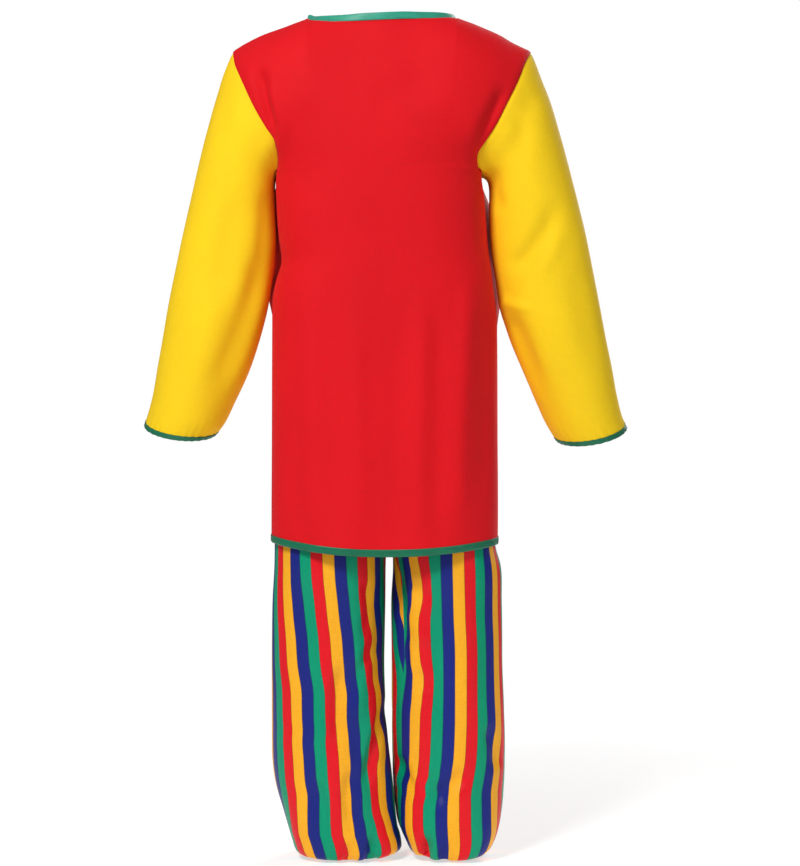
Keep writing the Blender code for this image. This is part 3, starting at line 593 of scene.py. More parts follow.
def through(rings, count):
    """Evenly spaced rows on smooth curves through key rings."""
    rings = np.array(rings, float)
    steps = np.linalg.norm(np.diff(rings, axis=0), axis=2).mean(axis=1)
    knots = np.concatenate([[0], np.cumsum(steps)])
    slopes = np.gradient(rings, knots, axis=0)
    at = np.linspace(0, knots[-1], count)
    before = np.clip(np.searchsorted(knots, at, side="right") - 1, 0, len(knots) - 2)
    span = (knots[before + 1] - knots[before])[:, None, None]
    share = (at - knots[before])[:, None, None] / span
    return (rings[before] * (1 + 2 * share) * (1 - share) ** 2
            + rings[before + 1] * share ** 2 * (3 - 2 * share)
            + slopes[before] * span * share * (1 - share) ** 2
            - slopes[before + 1] * span * share ** 2 * (1 - share))


def even_steps(points, count):
    """The given number of even steps along an array of points."""
    lengths = np.concatenate([[0], np.cumsum(np.linalg.norm(np.diff(points, axis=0), axis=1))])
    at = np.linspace(0, lengths[-1], count + 1)
    return np.stack([np.interp(at, lengths, points[:, k]) for k in range(points.shape[1])], axis=1)


def fold_depth(folds, girth, turn, z):
    """How far the folds press a tube of cloth in at shares of the way round and heights."""
    total = np.zeros(np.broadcast(turn, z).shape)
    for fold in folds:
        away = turn - fold.turn - fold.lean * (z - fold.z)
        away = (away + 0.5) % 1 - 0.5
        across = away * girth / fold.width
        along = (z - fold.z) / fold.length
        total += fold.depth * np.exp(-across ** 2 - along ** 2)
    return total


def crease_depth(creases, grid):
    """How far the listed creases press the cloth in, by their distance in x and z."""
    places = grid[..., [0, 2]]
    total = np.zeros(grid.shape[:2])
    for crease in creases:
        path = np.array(crease.path, float)
        nearest = np.full(grid.shape[:2], 1e9)
        reach = np.zeros(grid.shape[:2])
        for number, (start, end) in enumerate(zip(path, path[1:])):
            line = end - start
            share = np.clip(((places - start) @ line) / (line @ line), 0, 1)
            away = np.linalg.norm(places - (start + share[..., None] * line), axis=2)
            closer = away < nearest
            nearest = np.where(closer, away, nearest)
            reach = np.where(closer, (number + share) / (len(path) - 1), reach)
        across = nearest / crease.width
        ends = ease(reach / CREASE_ENDS) * ease((1 - reach) / CREASE_ENDS)
        lips = 1 - CREASE_LIPS * across ** 2
        total += crease.depth * ends * lips * np.exp(-across ** 2 / CREASE_SPREAD)
    return total


def tube_creases(creases, side, grid, normals, turned_away):
    """How far a tube's creases press it in: its back's where it faces back, its front's where
    it faces forward, and a little where it is turned away."""
    total = np.zeros(grid.shape[:2])
    for name, sign in (("back", -1), ("front", 1)):
        facing = ease((sign * normals[..., 1] + turned_away) / FACING)
        total += crease_depth(creases[side, name], grid) * facing
    return total


def unevenness(grid, seed):
    """Slow hand-feel waves over cloth, from smooth seeded noise."""
    result = np.empty(grid.shape[:2])
    for place in np.ndindex(result.shape):
        x, y, z = grid[place] / UNEVEN_SIZE
        result[place] = noise.noise(Vector((x + seed, y, z * UNEVEN_UPRIGHT)))
    return UNEVEN_DEPTH * result


def ditch(distance):
    """Depth of a seam's ditch at distances from the seam."""
    return DITCH_DEPTH * np.exp(-(distance / DITCH_WIDTH) ** 2)


def ripple(turns, count, seed):
    """Uneven ripples round an edge: count of them, with wandering spacing and height."""
    turn = 2 * math.pi * turns
    wander = 0.9 * np.sin(3 * turn + seed) + 0.7 * np.sin(7 * turn + 2.1 * seed)
    height = 0.65 + 0.35 * np.sin(5 * turn + 1.3 * seed)
    return height * np.sin(count * turn + wander)


# Tunic

def side_of(x):
    return "left" if x < 0 else "right"


def neck_half_width(x):
    return getattr(SHOULDER[0], side_of(x))


def neck_height(x, below=0.0):
    """Share of the neckline's depth and drop at x: 1 in the middle and 0 at its ends, which
    blur with the distance below the edge."""
    height = 1 - (x / neck_half_width(x)) ** 2
    blur = min(below / NECK_BLUR, 1)
    return math.sqrt(max(0, height + math.hypot(height, blur)) / 2)


def ridge_z(panel, x):
    """Height of a panel's upper edge at x: the neckline, or the shoulder line outside it."""
    if abs(x) < neck_half_width(x):
        droop = 1 - panel.droop * x / neck_half_width(x)
        return SHOULDER[0].z - panel.neck_drop * neck_height(x) * droop
    return read(SHOULDER, "z", abs(x), key=side_of(x))


def panel_depth(panel, x, z):
    """How far a panel stands behind or before the side and shoulder seams."""
    ratio = min(abs(x) / read(TORSO, side_of(x), z), 1)
    full = read(TORSO, panel.name, z) * (1 - ratio ** SIDE_POWER) ** (1 / SIDE_POWER)
    below = max(0, ridge_z(panel, x) - z)
    edge = panel.neck_depth * neck_height(x, below)
    over_shoulder = 1 - min(below / SHOULDER_ROUNDING, 1)
    over_shoulder = (1 - over_shoulder ** SHOULDER_POWER) ** (1 / SHOULDER_POWER)
    down_neck = 1 - (1 - min(below / NECK_LEAN, 1)) ** 2
    at_neck = float(ease((1 - abs(x) / neck_half_width(x)) / (1 - NECK_CORNER)))
    fall = over_shoulder + (down_neck - over_shoulder) * at_neck
    return edge + (full - edge) * fall


def even_quarter(width, depth, steps):
    """Unit points of the rounded section from the side to the middle, evenly spaced."""
    angle = np.linspace(0, math.pi / 2, FINE_STEPS + 1)
    fine = np.stack([width * np.cos(angle) ** (2 / SIDE_POWER),
                     depth * np.sin(angle) ** (2 / SIDE_POWER)], axis=1)
    return even_steps(fine, steps) / (width, depth)


def hem_z(x):
    """Height of the tunic cloth's lower edge: it dips to the middle."""
    return HEM_SIDE_Z - HEM_MIDDLE_DROP * (1 - (x / HEM_HALF_WIDTH) ** 2)


def drape(across, z):
    """How far the skirt waves out at a share of the way across."""
    grown = float(ease((DRAPE_TOP_Z - z) / DRAPE_LENGTH))
    wave = math.sin(2 * math.pi * DRAPE_WAVES * across) * math.sin(math.pi * across)
    return DRAPE_DEPTH * grown * wave


def panel_columns():
    """Column positions across a panel, closer together beside the side seams."""
    inner = list(range(1, COLUMNS))
    return [0, *SEAM_COLUMNS, *inner, *(COLUMNS - s for s in reversed(SEAM_COLUMNS)), COLUMNS]


def skirt_point(panel, quarter, column, z):
    """A point of the tunic below the armpits."""
    side, sign = ("left", -1) if column < COLUMNS / 2 else ("right", 1)
    place = min(column, COLUMNS - column)
    out, deep = (np.interp(place, np.arange(len(quarter)), quarter[:, k]) for k in (0, 1))
    x = sign * read(TORSO, side, z) * out
    y = read(TORSO, panel.name, z) * deep + drape(column / COLUMNS, z)
    return x, panel.sign * (y + SEAM_GAP / 2), z


def top_point(panel, column):
    """Place in the photo's plane of a panel's top edge at a column position."""
    neck, tip = SHOULDER[0], SHOULDER[-1]
    if column < SHOULDER_COLUMNS:
        x = -tip.left + (tip.left - neck.left) * column / SHOULDER_COLUMNS
    elif column <= SHOULDER_COLUMNS + NECK_COLUMNS:
        turn = -math.cos(math.pi * (column - SHOULDER_COLUMNS) / NECK_COLUMNS)
        x = turn * (neck.left if turn < 0 else neck.right)
    else:
        x = neck.right + (tip.right - neck.right) * (
            column - SHOULDER_COLUMNS - NECK_COLUMNS) / SHOULDER_COLUMNS
    return x, ridge_z(panel, x)


def armhole_point(side, share):
    """Place in the photo's plane of the armhole seam at a share of the way down."""
    tip = SHOULDER[-1].z
    z = tip + (ARMPIT_Z - tip) * share
    return OUTWARDS[side] * read(ARMHOLE, side, z), z


def armhole_share(row):
    """Share of the way from the shoulder tip down to the armpit at a row."""
    return (1 - math.cos(math.pi * row / ARMHOLE_ROWS)) / 2


def panel_grid(panel, quarter):
    """A panel's points, from the shoulders and neck down to the hem."""
    columns = panel_columns()
    top = [top_point(panel, column) for column in columns]
    arm = [skirt_point(panel, quarter, column, ARMPIT_Z) for column in columns]
    bottom = [(x, z) for x, _, z in arm]
    rows = []
    for row in range(ARMHOLE_ROWS):
        down = armhole_share(row)
        left = armhole_point("left", down)
        right = armhole_point("right", down)
        line = []
        for number, column in enumerate(columns):
            across = column / COLUMNS
            x, z = ((1 - down) * top[number][k] + down * bottom[number][k]
                    + (1 - across) * left[k] + across * right[k]
                    - (1 - down) * ((1 - across) * top[0][k] + across * top[-1][k])
                    - down * ((1 - across) * bottom[0][k] + across * bottom[-1][k])
                    for k in (0, 1))
            line.append((x, panel.sign * (panel_depth(panel, x, z) + SEAM_GAP / 2), z))
        rows.append(line)
    for row in range(SKIRT_ROWS + 1):
        line = []
        for number, column in enumerate(columns):
            z = ARMPIT_Z + (hem_z(bottom[number][0]) - ARMPIT_Z) * row / SKIRT_ROWS
            line.append(skirt_point(panel, quarter, column, z))
        rows.append(line)
    return np.array(rows)


def side_bulges(panel, grid):
    """How far each point of a panel's sides swells towards the sleeves."""
    x, y, z = (grid[..., k] for k in range(3))
    from_seam = np.minimum(*(np.linalg.norm(grid - grid[:, end], axis=2)
                             for end in ([0], [-1])))
    start = ease(from_seam / SIDE_FOLD_START) * ease((ARMPIT_Z - z) / SIDE_FOLD_START)
    shift = np.zeros_like(grid)
    for side, outwards in OUTWARDS.items():
        fold = SIDE_FOLDS.get((panel.name, side))
        if fold is None:
            continue
        deep = (np.abs(y) - fold.depth) / fold.width
        high = (z - fold.z) / fold.length
        height = fold.height * np.exp(-deep ** 2 - high ** 4) * start * (x * outwards > 0)
        way = np.array((outwards * SIDE_FOLD_OUT, panel.sign * SIDE_FOLD_BACK, 0))
        shift += way * height[..., None]
    return shift


def soften(grid):
    """Evens out a grid's depth, less so towards its border."""
    evened = grid[..., 1]
    border = np.full(grid.shape[:2], 1e9)
    for axis in (0, 1):
        along = lengths_along(grid, axis)
        border = np.minimum(border, np.minimum(along, along.max(axis=axis, keepdims=True) - along))
        along = along.mean(axis=1 - axis)
        weights = np.exp(-((along[:, None] - along) / SOFTENING) ** 2) * np.gradient(along)
        weights /= weights.sum(axis=1, keepdims=True)
        evened = weights @ evened if axis == 0 else evened @ weights.T
    share = ease(border / (2 * SOFTENING))
    grid[..., 1] += share * (evened - grid[..., 1])
    return grid


def dress_panel(panel, grid):
    """A panel with its creases, seam ditches and hem puckers."""
    normals = grid_normals(grid, TORSO_MIDDLE)
    across = lengths_along(grid, 1)
    down = lengths_along(grid, 0)
    from_side = np.minimum(across, across[:, -1:] - across)
    press = crease_depth(TUNIC_CREASES[panel.name], grid) * ease(from_side / CREASE_INSET)
    press += unevenness(grid, panel.sign * TUNIC_SEED) * ease(from_side / UNEVEN_INSET)
    press += ditch(from_side)
    shoulder = np.abs(grid[0, :, 0]) > [neck_half_width(x) for x in grid[0, :, 0]]
    press += ditch(down) * shoulder
    press += NECK_DITCH_SHARE * ditch(down - NECK_DITCH_FROM) * ~shoulder
    to_hem = down[-1:] - down
    turns = across / across[:, -1:]
    puckers = ripple(turns, HEM_PUCKERS / 2, panel.sign) * np.exp(-to_hem / HEM_PUCKER_LENGTH)
    press += HEM_PUCKER_DEPTH * puckers
    return grid - normals * press[..., None]


# Sleeves

def sleeve_section(ring, angle):
    """Points of a sleeve's ring: angle 0 is its outer end and a quarter turn its back."""
    outer = np.array((ring.outer_x, ring.y, ring.outer_z))
    inner = np.array((ring.inner_x, ring.y, ring.inner_z))
    tilt = math.radians(ring.tilt)
    back = np.array((0, -math.cos(tilt), -math.sin(tilt))) * ring.depth
    angle = np.asarray(angle)[..., None]
    return (outer + inner) / 2 + (outer - inner) / 2 * np.cos(angle) + back * np.sin(angle)


def armhole_ring(grids, column):
    """The armhole seam from the armpit up the back to the tip and down the front."""
    back = grids["back"][:ARMHOLE_ROWS + 1, column]
    front = grids["front"][:ARMHOLE_ROWS + 1, column]
    tip = (back[0] + front[0]) / 2
    armpit = (back[-1] + front[-1]) / 2
    ring = np.concatenate([[armpit], back[-2:0:-1], [tip], front[1:-1], [armpit]])
    quarter = math.pi * np.arange(ARMHOLE_ROWS + 1) / ARMHOLE_ROWS
    angles = np.concatenate([quarter[::-1], -quarter[1:]])
    return ring, angles


def sleeve_grid(side, ring, angles):
    """A sleeve's points from the armhole to the cuff, with folds, creases and puckers."""
    table = SLEEVE_LEFT if side == "left" else SLEEVE_RIGHT
    tip, armpit = ring[ARMHOLE_ROWS], ring[0]
    armhole = SleeveRing(tip[0], tip[2], armpit[0], armpit[2], ARMHOLE_HALF_DEPTH, 0, 0)
    lean = ring - sleeve_section(armhole, angles)
    keys = []
    for number, key in enumerate(table):
        share = HEAD_SHARE[number] if number < len(HEAD_SHARE) else 0
        keys.append(sleeve_section(key, angles) + lean * share)
    away = unit(keys[0] - ring) * SEAM_GAP
    grid = through([ring + away, *keys], SLEEVE_ROWS)
    middle = grid.mean(axis=1, keepdims=True)
    turns = (angles / (2 * math.pi)) % 1
    press = fold_depth(SLEEVE_FOLDS[side], SLEEVE_GIRTH, turns[None, :], middle[..., 2])
    grid = grid - unit(grid - middle) * press[..., None]

    normals = grid_normals(grid, middle)
    down = lengths_along(grid, 0)
    around = lengths_along(grid, 1)
    from_top = down.mean(axis=1, keepdims=True)
    to_cuff = from_top[-1:] - from_top
    press = ditch(np.minimum(around, around[:, -1:] - around))
    press += ditch(down)
    free = ease(down / SLEEVE_HEAD)
    uneven_seed, pucker_seed = SLEEVE_SEEDS[side]
    press += unevenness(grid, uneven_seed) * free
    press += tube_creases(SLEEVE_CREASES, side, grid, normals, SLEEVE_WRAP) * free
    puckers = ripple(around / around[:, -1:], CUFF_PUCKERS, pucker_seed)
    puckers = puckers * (1 - CUFF_EDGE_CALM * np.exp(-to_cuff / CUFF_EDGE))
    press += CUFF_PUCKER_DEPTH * puckers * np.exp(-to_cuff / CUFF_PUCKER_LENGTH)
    return grid - normals * press[..., None]


# Trousers

def middle_x(z):
    """Where the trousers' centre seams lie across, at a height."""
    return CROTCH_X * min(max((WAIST_Z - z) / (WAIST_Z - CROTCH_Z), 0), 1)


def leg_ring(ring, side):
    """One ring of a leg, from the inside-leg or centre seam round the back to the front."""
    outwards = OUTWARDS[side]
    inner = getattr(ring, side + "_inner")
    outer = getattr(ring, side + "_outer")
    centre, half = (inner + outer) / 2, abs(outer - inner) / 2
    cut = middle_x(ring.z) + outwards * SEAM_GAP / 2
    angle = np.linspace(0, 2 * math.pi, 4 * FINE_STEPS + 1)
    c, s = np.cos(angle), np.sin(angle)
    blouse = float(ease((BLOUSE_TOP_Z - ring.z) / BLOUSE_LENGTH))
    power = LEG_POWER + (BLOUSE_POWER - LEG_POWER) * blouse
    x = centre - outwards * half * np.sign(c) * np.abs(c) ** (2 / power)
    y = -ring.depth * np.sign(s) * np.abs(s) ** (2 / power)
    if ring.z > CROTCH_Z:
        kept = (x - cut) * outwards >= 0
        x, y = x[kept], y[kept]
    row = even_steps(np.stack([x, y, np.full_like(x, ring.z)], axis=1), LEG_COLUMNS)
    row[:, 2] += ring.lift * ((row[:, 0] - centre) / half) ** 2
    return row


def leg_grid(side):
    """A leg's points from the waist to the ankle, with folds, creases and gathers."""
    grid = through([leg_ring(ring, side) for ring in LEGS], LEG_ROWS)
    middle = grid.mean(axis=1, keepdims=True)
    turns = np.linspace(0, 1, LEG_COLUMNS + 1)[None, :]
    level = middle[..., 2]
    press = fold_depth(LEG_FOLDS[side], LEG_GIRTH, turns, level)
    closed = ease((CROTCH_Z - level) / CROTCH_BLEND)
    seam = ease(np.minimum(turns, 1 - turns) * LEG_GIRTH / SEAM_BLEND)
    press *= closed + (1 - closed) * seam
    grid = grid - unit((grid - middle) * (1, 1, 0)) * press[..., None]

    normals = grid_normals(grid, middle)
    around = lengths_along(grid, 1)
    from_seam = np.minimum(around, around[:, -1:] - around)
    seen_part = ease((HEM_SIDE_Z - CREASES_START - grid[..., 2]) / CREASES_GROWTH)
    tucked = ease((grid[..., 2] - HEM_SIDE_Z) / TUCK_LENGTH + 1)
    press = ditch(from_seam) + UNDER_TUNIC * seam * tucked
    uneven_seed, gather_seed = LEG_SEEDS[side]
    press += unevenness(grid, uneven_seed) * seen_part
    press += tube_creases(LEG_CREASES, side, grid, normals, LEG_WRAP) * seen_part
    down = lengths_along(grid, 0)
    lowest = int(np.argmin(level[:, 0]))
    past = down - down[lowest:lowest + 1]
    gathers = ripple(turns, ANKLE_GATHERS, gather_seed)
    press += ANKLE_GATHER_DEPTH * gathers * ease(past / ANKLE_GATHER_LENGTH)
    waist = np.exp(-down / WAIST_GATHER_LENGTH) * seam
    press += WAIST_GATHER_DEPTH * ripple(turns, WAIST_GATHERS, WAIST_SEED) * waist
    return grid - normals * press[..., None]


def stripe_places(grid, side):
    """How far across the striped cloth each point lies, counted in stripes, and its slip:
    how far past the fold line it is, and the stripes that the cloth has slipped by there."""
    outwards = OUTWARDS[side]
    around = lengths_along(grid, 1)
    level = grid[..., 2].mean(axis=1)
    counted = np.zeros(grid.shape[:2])
    slip = np.zeros((*grid.shape[:2], 2))
    slip[..., 0] = NO_SLIP
    lowest_free = int(np.argmax(level < FREE_STRIPES_Z))
    for row in range(len(grid)):
        source = min(row, lowest_free)
        line = grid[source]
        back = slice(0, LEG_COLUMNS // 2)
        x = line[back, 0] * outwards
        z = level[source]
        edge_x = read(STRIPE_LINES, side, z) * outwards
        start = np.interp(edge_x, x, around[source][back])
        across = (start - around[source]) / STRIPE_WIDTH
        inner = ease((start - around[source] - SWAY_FROM) / SWAY_GROWTH)
        sway = read(STRIPE_LINES, side + "_sway", z) / STRIPE_WIDTH
        counted[row] = REFERENCE_EDGE[side] + across + sway * inner
        if side == "right" and z > SLIP.line[-1][1]:
            path = np.array(SLIP.line[::-1], float)
            past = np.interp(z, path[:, 1], path[:, 0]) - line[:, 0]
            slip[row, :, 0] = np.where(line[:, 1] < 0, past, NO_SLIP)
            slip[row, :, 1] = SLIP.stripes * ease((SLIP.start - z) / SLIP.length)
    return counted, slip


# Meshes

def add_mesh(name, points, faces, material, sharp=50, **layers):
    """A mesh object from points in millimetres."""
    mesh = bpy.data.meshes.new(name)
    mesh.from_pydata((np.asarray(points) * MM).tolist(), [], faces)
    mesh.shade_smooth()
    if sharp:
        mesh.set_sharp_from_angle(angle=math.radians(sharp))
    corners = np.empty(len(mesh.loops), np.int32)
    mesh.loops.foreach_get("vertex_index", corners)
    for layer_name, places in layers.items():
        layer = mesh.uv_layers.new(name=layer_name)
        layer.data.foreach_set("uv", np.asarray(places, np.float32)[corners].ravel())
    mesh.materials.append(material)
    made = bpy.data.objects.new(name, mesh)
    bpy.context.scene.collection.objects.link(made)
    return made


def add_shell(name, grid, inside, material, across=None, slip=None):
    """Cloth of a grid: its outside, its inside and the cut edges between them."""
    rows, columns = grid.shape[:2]
    normals = grid_normals(grid, inside)
    inner = grid - normals * CLOTH
    points = np.concatenate([grid.reshape(-1, 3), inner.reshape(-1, 3)])
    if across is None:
        across = lengths_along(grid, 1) * MM
    along = lengths_along(grid, 0).mean(axis=1, keepdims=True) * MM + np.zeros((1, columns))
    uvs = np.tile(np.stack([across, along], axis=2).reshape(-1, 2), (2, 1))
    number = np.arange(rows * columns).reshape(rows, columns)
    quads = np.stack([number[:-1, :-1], number[1:, :-1], number[1:, 1:], number[:-1, 1:]],
                     axis=2).reshape(-1, 4)
    a, b, c = (grid.reshape(-1, 3)[quads[0, k]] for k in (0, 1, 2))
    turned_in = np.dot(np.cross(b - a, c - b), normals[0, 0]) < 0
    if turned_in:
        quads = quads[:, ::-1]
    turned = quads[:, ::-1] + rows * columns
    rim = np.concatenate([number[:, 0], number[-1, 1:], number[-2::-1, -1], number[0, -2:0:-1]])
    after = np.roll(rim, -1)
    edges = np.stack([rim, after, after + rows * columns, rim + rows * columns], axis=1)
    if not turned_in:
        edges = edges[:, ::-1]
    faces = np.concatenate([quads, turned, edges]).tolist()
    layers = {} if slip is None else {"slip": np.tile(slip.reshape(-1, 2), (2, 1))}
    return add_mesh(name, points, faces, material, cloth=uvs, **layers)


Station = namedtuple("Station", "point normal away along")

# Section of the folded binding: millimetres on from the cloth's edge as shares of its width,
# and out from the middle of the cloth
TapePoint = namedtuple("TapePoint", "across out")
TAPE_OVERLAP = 1.1
TAPE_SWELL = 0.08
TAPE_SLOW_SWELL = 0.05
TAPE_SLOW_SHARE = 0.37
TAPE = named(TapePoint, [
    (0.0, 0.8), (0.0, 1.25), (0.04, 1.45), (0.14, 1.5), (0.24, 1.38), (0.5, 1.5), (0.8, 1.4),
    (0.93, 1.05), (1.0, 0.35), (1.0, -0.35), (0.93, -1.05), (0.8, -1.4), (0.5, -1.5),
    (0.24, -1.38), (0.14, -1.5), (0.04, -1.45), (0.0, -1.25), (0.0, -0.8), (0.4, -0.8),
    (0.86, -0.3), (0.86, 0.3), (0.4, 0.8),
])


def ring_faces(start, rings, size, closed):
    """Faces between rings of points that follow each other, from a first point on."""
    faces = []
    for ring in range(rings if closed else rings - 1):
        here, there = start + ring * size, start + (ring + 1) % rings * size
        for corner in range(size):
            after = (corner + 1) % size
            faces.append((here + corner, here + after, there + after, there + corner))
    return faces


def edge_stations(points, normals, inside):
    """Stations round a closed edge: inside is each point's neighbour within the cloth."""
    stations = []
    for number, (point, normal) in enumerate(zip(points, normals)):
        before = unit(point - points[number - 1])
        after = unit(points[(number + 1) % len(points)] - point)
        along = unit(before + after)
        level = unit(normal - along * normal.dot(along))
        away = np.cross(along, level)
        if away.dot(point - inside[number]) < 0:
            away = -away
        stations.append(Station(point, level, away, along))
    return stations


def turned_to(station, away, normal):
    """A station turned to a new direction away from the cloth, square to its normal."""
    away = unit(away)
    normal = unit(normal - away * normal.dot(away))
    return Station(station.point, normal, away, station.along)


def stand_up(stations):
    """Turns a binding's stations up, so that it stands on its seam."""
    turned = []
    for station in stations:
        up = np.array((0, 0, 1.0)) - station.along * station.along[2]
        turned.append(turned_to(station, station.away + NECK_STAND * up, station.normal))
    return turned


def even_out(stations):
    """Turns a binding's stations slowly, so that it goes smoothly round a corner."""
    points, normals, aways, _ = (np.array(part) for part in zip(*stations))
    apart = np.linalg.norm(points[:, None] - points, axis=2)
    weights = np.exp(-(apart / CORNER_REACH) ** 2)
    return [turned_to(station, away, normal)
            for station, away, normal in zip(stations, weights @ aways, weights @ normals)]


def add_binding(name, stations, width, puckers, material):
    """A tape folded over a cloth's edge."""
    points, uvs = [], []
    length = 0
    for number, station in enumerate(stations):
        if number:
            length += np.linalg.norm(station.point - stations[number - 1].point)
        turn = 2 * math.pi * number / len(stations)
        swell = 1 + TAPE_SWELL * math.sin(turn * puckers)
        swell += TAPE_SLOW_SWELL * math.sin(turn * puckers * TAPE_SLOW_SHARE + 1)
        for place in TAPE:
            along = -TAPE_OVERLAP + (width + TAPE_OVERLAP) * place.across
            out = place.out * (swell if place.across > 0.1 and abs(place.out) > 1 else 1)
            points.append(station.point + station.away * along
                          + station.normal * (out - CLOTH / 2))
            uvs.append((length * MM, (along + abs(place.out)) * MM))
    faces = ring_faces(0, len(stations), len(TAPE), closed=True)
    return add_mesh(name, points, faces, material, cloth=uvs)


def add_stitches(name, stations, material):
    """Short stitches along a binding's outside, near the edge that is sewn down."""
    line = np.array([s.point + s.away * (STITCH_INSET - TAPE_OVERLAP)
                     + s.normal * (STITCH_OUT - CLOTH / 2) for s in stations])
    loop = np.concatenate([line, line[:1]])
    lengths = np.concatenate([[0], np.cumsum(np.linalg.norm(np.diff(loop, axis=0), axis=1))])
    outs = np.array([s.normal for s in stations] + [stations[0].normal])
    count = int(lengths[-1] / STITCH_STEP)

    def read_at(table, at):
        return np.array([np.interp(at, lengths, table[:, k]) for k in range(3)])

    points, faces = [], []
    for stitch in range(count):
        middle = lengths[-1] * (stitch + 0.5) / count
        out = unit(read_at(outs, middle))
        along = unit(read_at(loop, middle + STITCH_LENGTH / 2)
                     - read_at(loop, middle - STITCH_LENGTH / 2))
        across = np.cross(along, out)
        start = len(points)
        for share, swell in STITCH_PROFILE:
            sunk = STITCH_RADIUS if swell < 0.5 else 0
            centre = read_at(loop, middle + share * STITCH_LENGTH) - out * sunk
            for turn in range(STITCH_SIDES):
                angle = 2 * math.pi * turn / STITCH_SIDES
                ray = across * math.cos(angle) + out * math.sin(angle)
                points.append(centre + STITCH_RADIUS * swell * ray)
        faces += ring_faces(start, len(STITCH_PROFILE), STITCH_SIDES, closed=False)
        faces.append(range(start, start + STITCH_SIDES)[::-1])
        faces.append(range(len(points) - STITCH_SIDES, len(points)))
    return add_mesh(name, points, faces, material, sharp=0)


def rim_stations(grids, row, next_row, first, last):
    """Stations round the neckline or the hem: across the back, then back over the front."""
    parts = {}
    for name, grid in grids.items():
        normals = grid_normals(grid, TORSO_MIDDLE)
        parts[name] = (grid[row], normals[row], grid[next_row])
    loops = []
    for k in range(3):
        back, front = parts["back"][k][first:last + 1], parts["front"][k][first:last + 1]
        ends = (back[0] + front[0]) / 2, (back[-1] + front[-1]) / 2
        loops.append(np.concatenate([[ends[0]], back[1:-1], [ends[1]], front[-2:0:-1]]))
    points, normals, near = loops
    return edge_stations(points, unit(normals), near)


# Finishes

class Finish:
    """A material, to which short calls add nodes."""

    def __init__(self, name, settings):
        self.material = bpy.data.materials.new(name)
        self.material.use_nodes = True
        self.tree = self.material.node_tree
        self.shader = self.tree.nodes["Principled BSDF"]
        self.fill(self.shader, settings)

    def fill(self, node, inputs):
        """Sets a node's inputs, or links them where a value comes from another node."""
        for key, value in inputs.items():
            if isinstance(value, bpy.types.NodeSocket):
                self.tree.links.new(value, node.inputs[key])
            else:
                node.inputs[key].default_value = value

    def add(self, kind, inputs, output=0, **choices):
        node = self.tree.nodes.new("ShaderNode" + kind)
        for key, value in choices.items():
            setattr(node, key, value)
        self.fill(node, inputs)
        return node.outputs[output]

    def math(self, operation, *values):
        return self.add("Math", dict(enumerate(values)), operation=operation)

    def noise(self, place, scale, detail=2.0):
        stretched = self.add("VectorMath", {0: place, 1: scale}, operation="MULTIPLY")
        return self.add("TexNoise", {"Vector": stretched, "Scale": 1.0, "Detail": detail})

    def remap(self, *value_and_limits):
        return self.add("MapRange", dict(enumerate(value_and_limits)))

    def cover(self, colour, shade, height, relief):
        """Gives the cloth its colour, which a shade varies, and raises its threads."""
        grey = self.add("CombineColor", {0: shade, 1: shade, 2: shade})
        mixed = self.add("Mix", {0: 1.0, 6: colour, 7: grey}, 2, data_type="RGBA",
                         blend_type="MULTIPLY")
        bump = self.add("Bump", {"Strength": relief, "Distance": THREAD_RELIEF,
                                 "Height": height})
        self.fill(self.shader, {"Base Color": mixed, "Normal": bump})
        return self.material


def stripe_colours(finish, uv):
    """Colour of the stripes over a leg, and a shade with the dark line between them."""
    slip = finish.add("UVMap", {}, uv_map="slip")
    past, stripes = (finish.add("SeparateXYZ", {0: slip}, k) for k in (0, 1))
    across = finish.add("SeparateXYZ", {0: uv})
    across = finish.math("MULTIPLY_ADD", finish.math("GREATER_THAN", past, 0.0), stripes, across)
    turn = finish.math("FRACT", finish.math("MULTIPLY", across, 1 / len(STRIPE_ORDER)))
    colour = finish.add("ValToRGB", {"Fac": turn})
    ramp = colour.node.color_ramp
    ramp.interpolation = "CONSTANT"
    for number, stripe in enumerate(STRIPE_ORDER):
        position = number / len(STRIPE_ORDER)
        element = ramp.elements[0] if number == 0 else ramp.elements.new(position)
        element.position = position
        element.color = (*STRIPES[stripe], 1)
    ramp.elements.remove(ramp.elements[-1])
    near = finish.math("PINGPONG", finish.math("FRACT", across), 0.5)
    return colour, finish.remap(near, 0.0, STRIPE_LINE, STRIPE_LINE_SHADE, 1.0)


def woven(name, colour, thread, grain, sheen, specular, roughness):
    """Woven cloth: plain threads, slubs along both ways, and slow changes of shade. Without
    a colour it is striped."""
    finish = Finish(name, {"Sheen Weight": sheen, "Sheen Roughness": 0.5,
                           "Specular IOR Level": specular})
    uv = finish.add("UVMap", {}, uv_map="cloth")
    metres = uv if colour else finish.add(
        "VectorMath", {0: uv, 1: (STRIPE_WIDTH * MM, 1, 1)}, operation="MULTIPLY")
    scale = 1 / (thread * MM) / WAVE_TURN
    warp, weft = (finish.add("TexWave", {"Vector": metres, "Scale": scale, "Distortion": 0.6,
                                         "Detail": 1.0}, "Fac", bands_direction=direction)
                  for direction in "XY")
    slubs = finish.math("ADD", finish.noise(metres, WARP_SLUBS), finish.noise(metres, WEFT_SLUBS))
    slow = finish.remap(finish.noise(metres, CLOTH_PATCHES, 3.0), 0.3, 0.7, 0.96, 1.03)
    shade = finish.math("MULTIPLY", finish.remap(slubs, *SLUB_RANGE, 1 - grain, 1 + grain), slow)
    if colour:
        base = (*colour, 1)
    else:
        base, line = stripe_colours(finish, uv)
        shade = finish.math("MULTIPLY", shade, line)
    rough = finish.remap(slubs, *SLUB_RANGE, roughness - 0.06, roughness + 0.06)
    finish.fill(finish.shader, {"Roughness": rough})
    height = finish.math("MULTIPLY_ADD", finish.math("MULTIPLY", warp, weft), 0.5, slubs)
    return finish.cover(base, shade, height, 0.35)


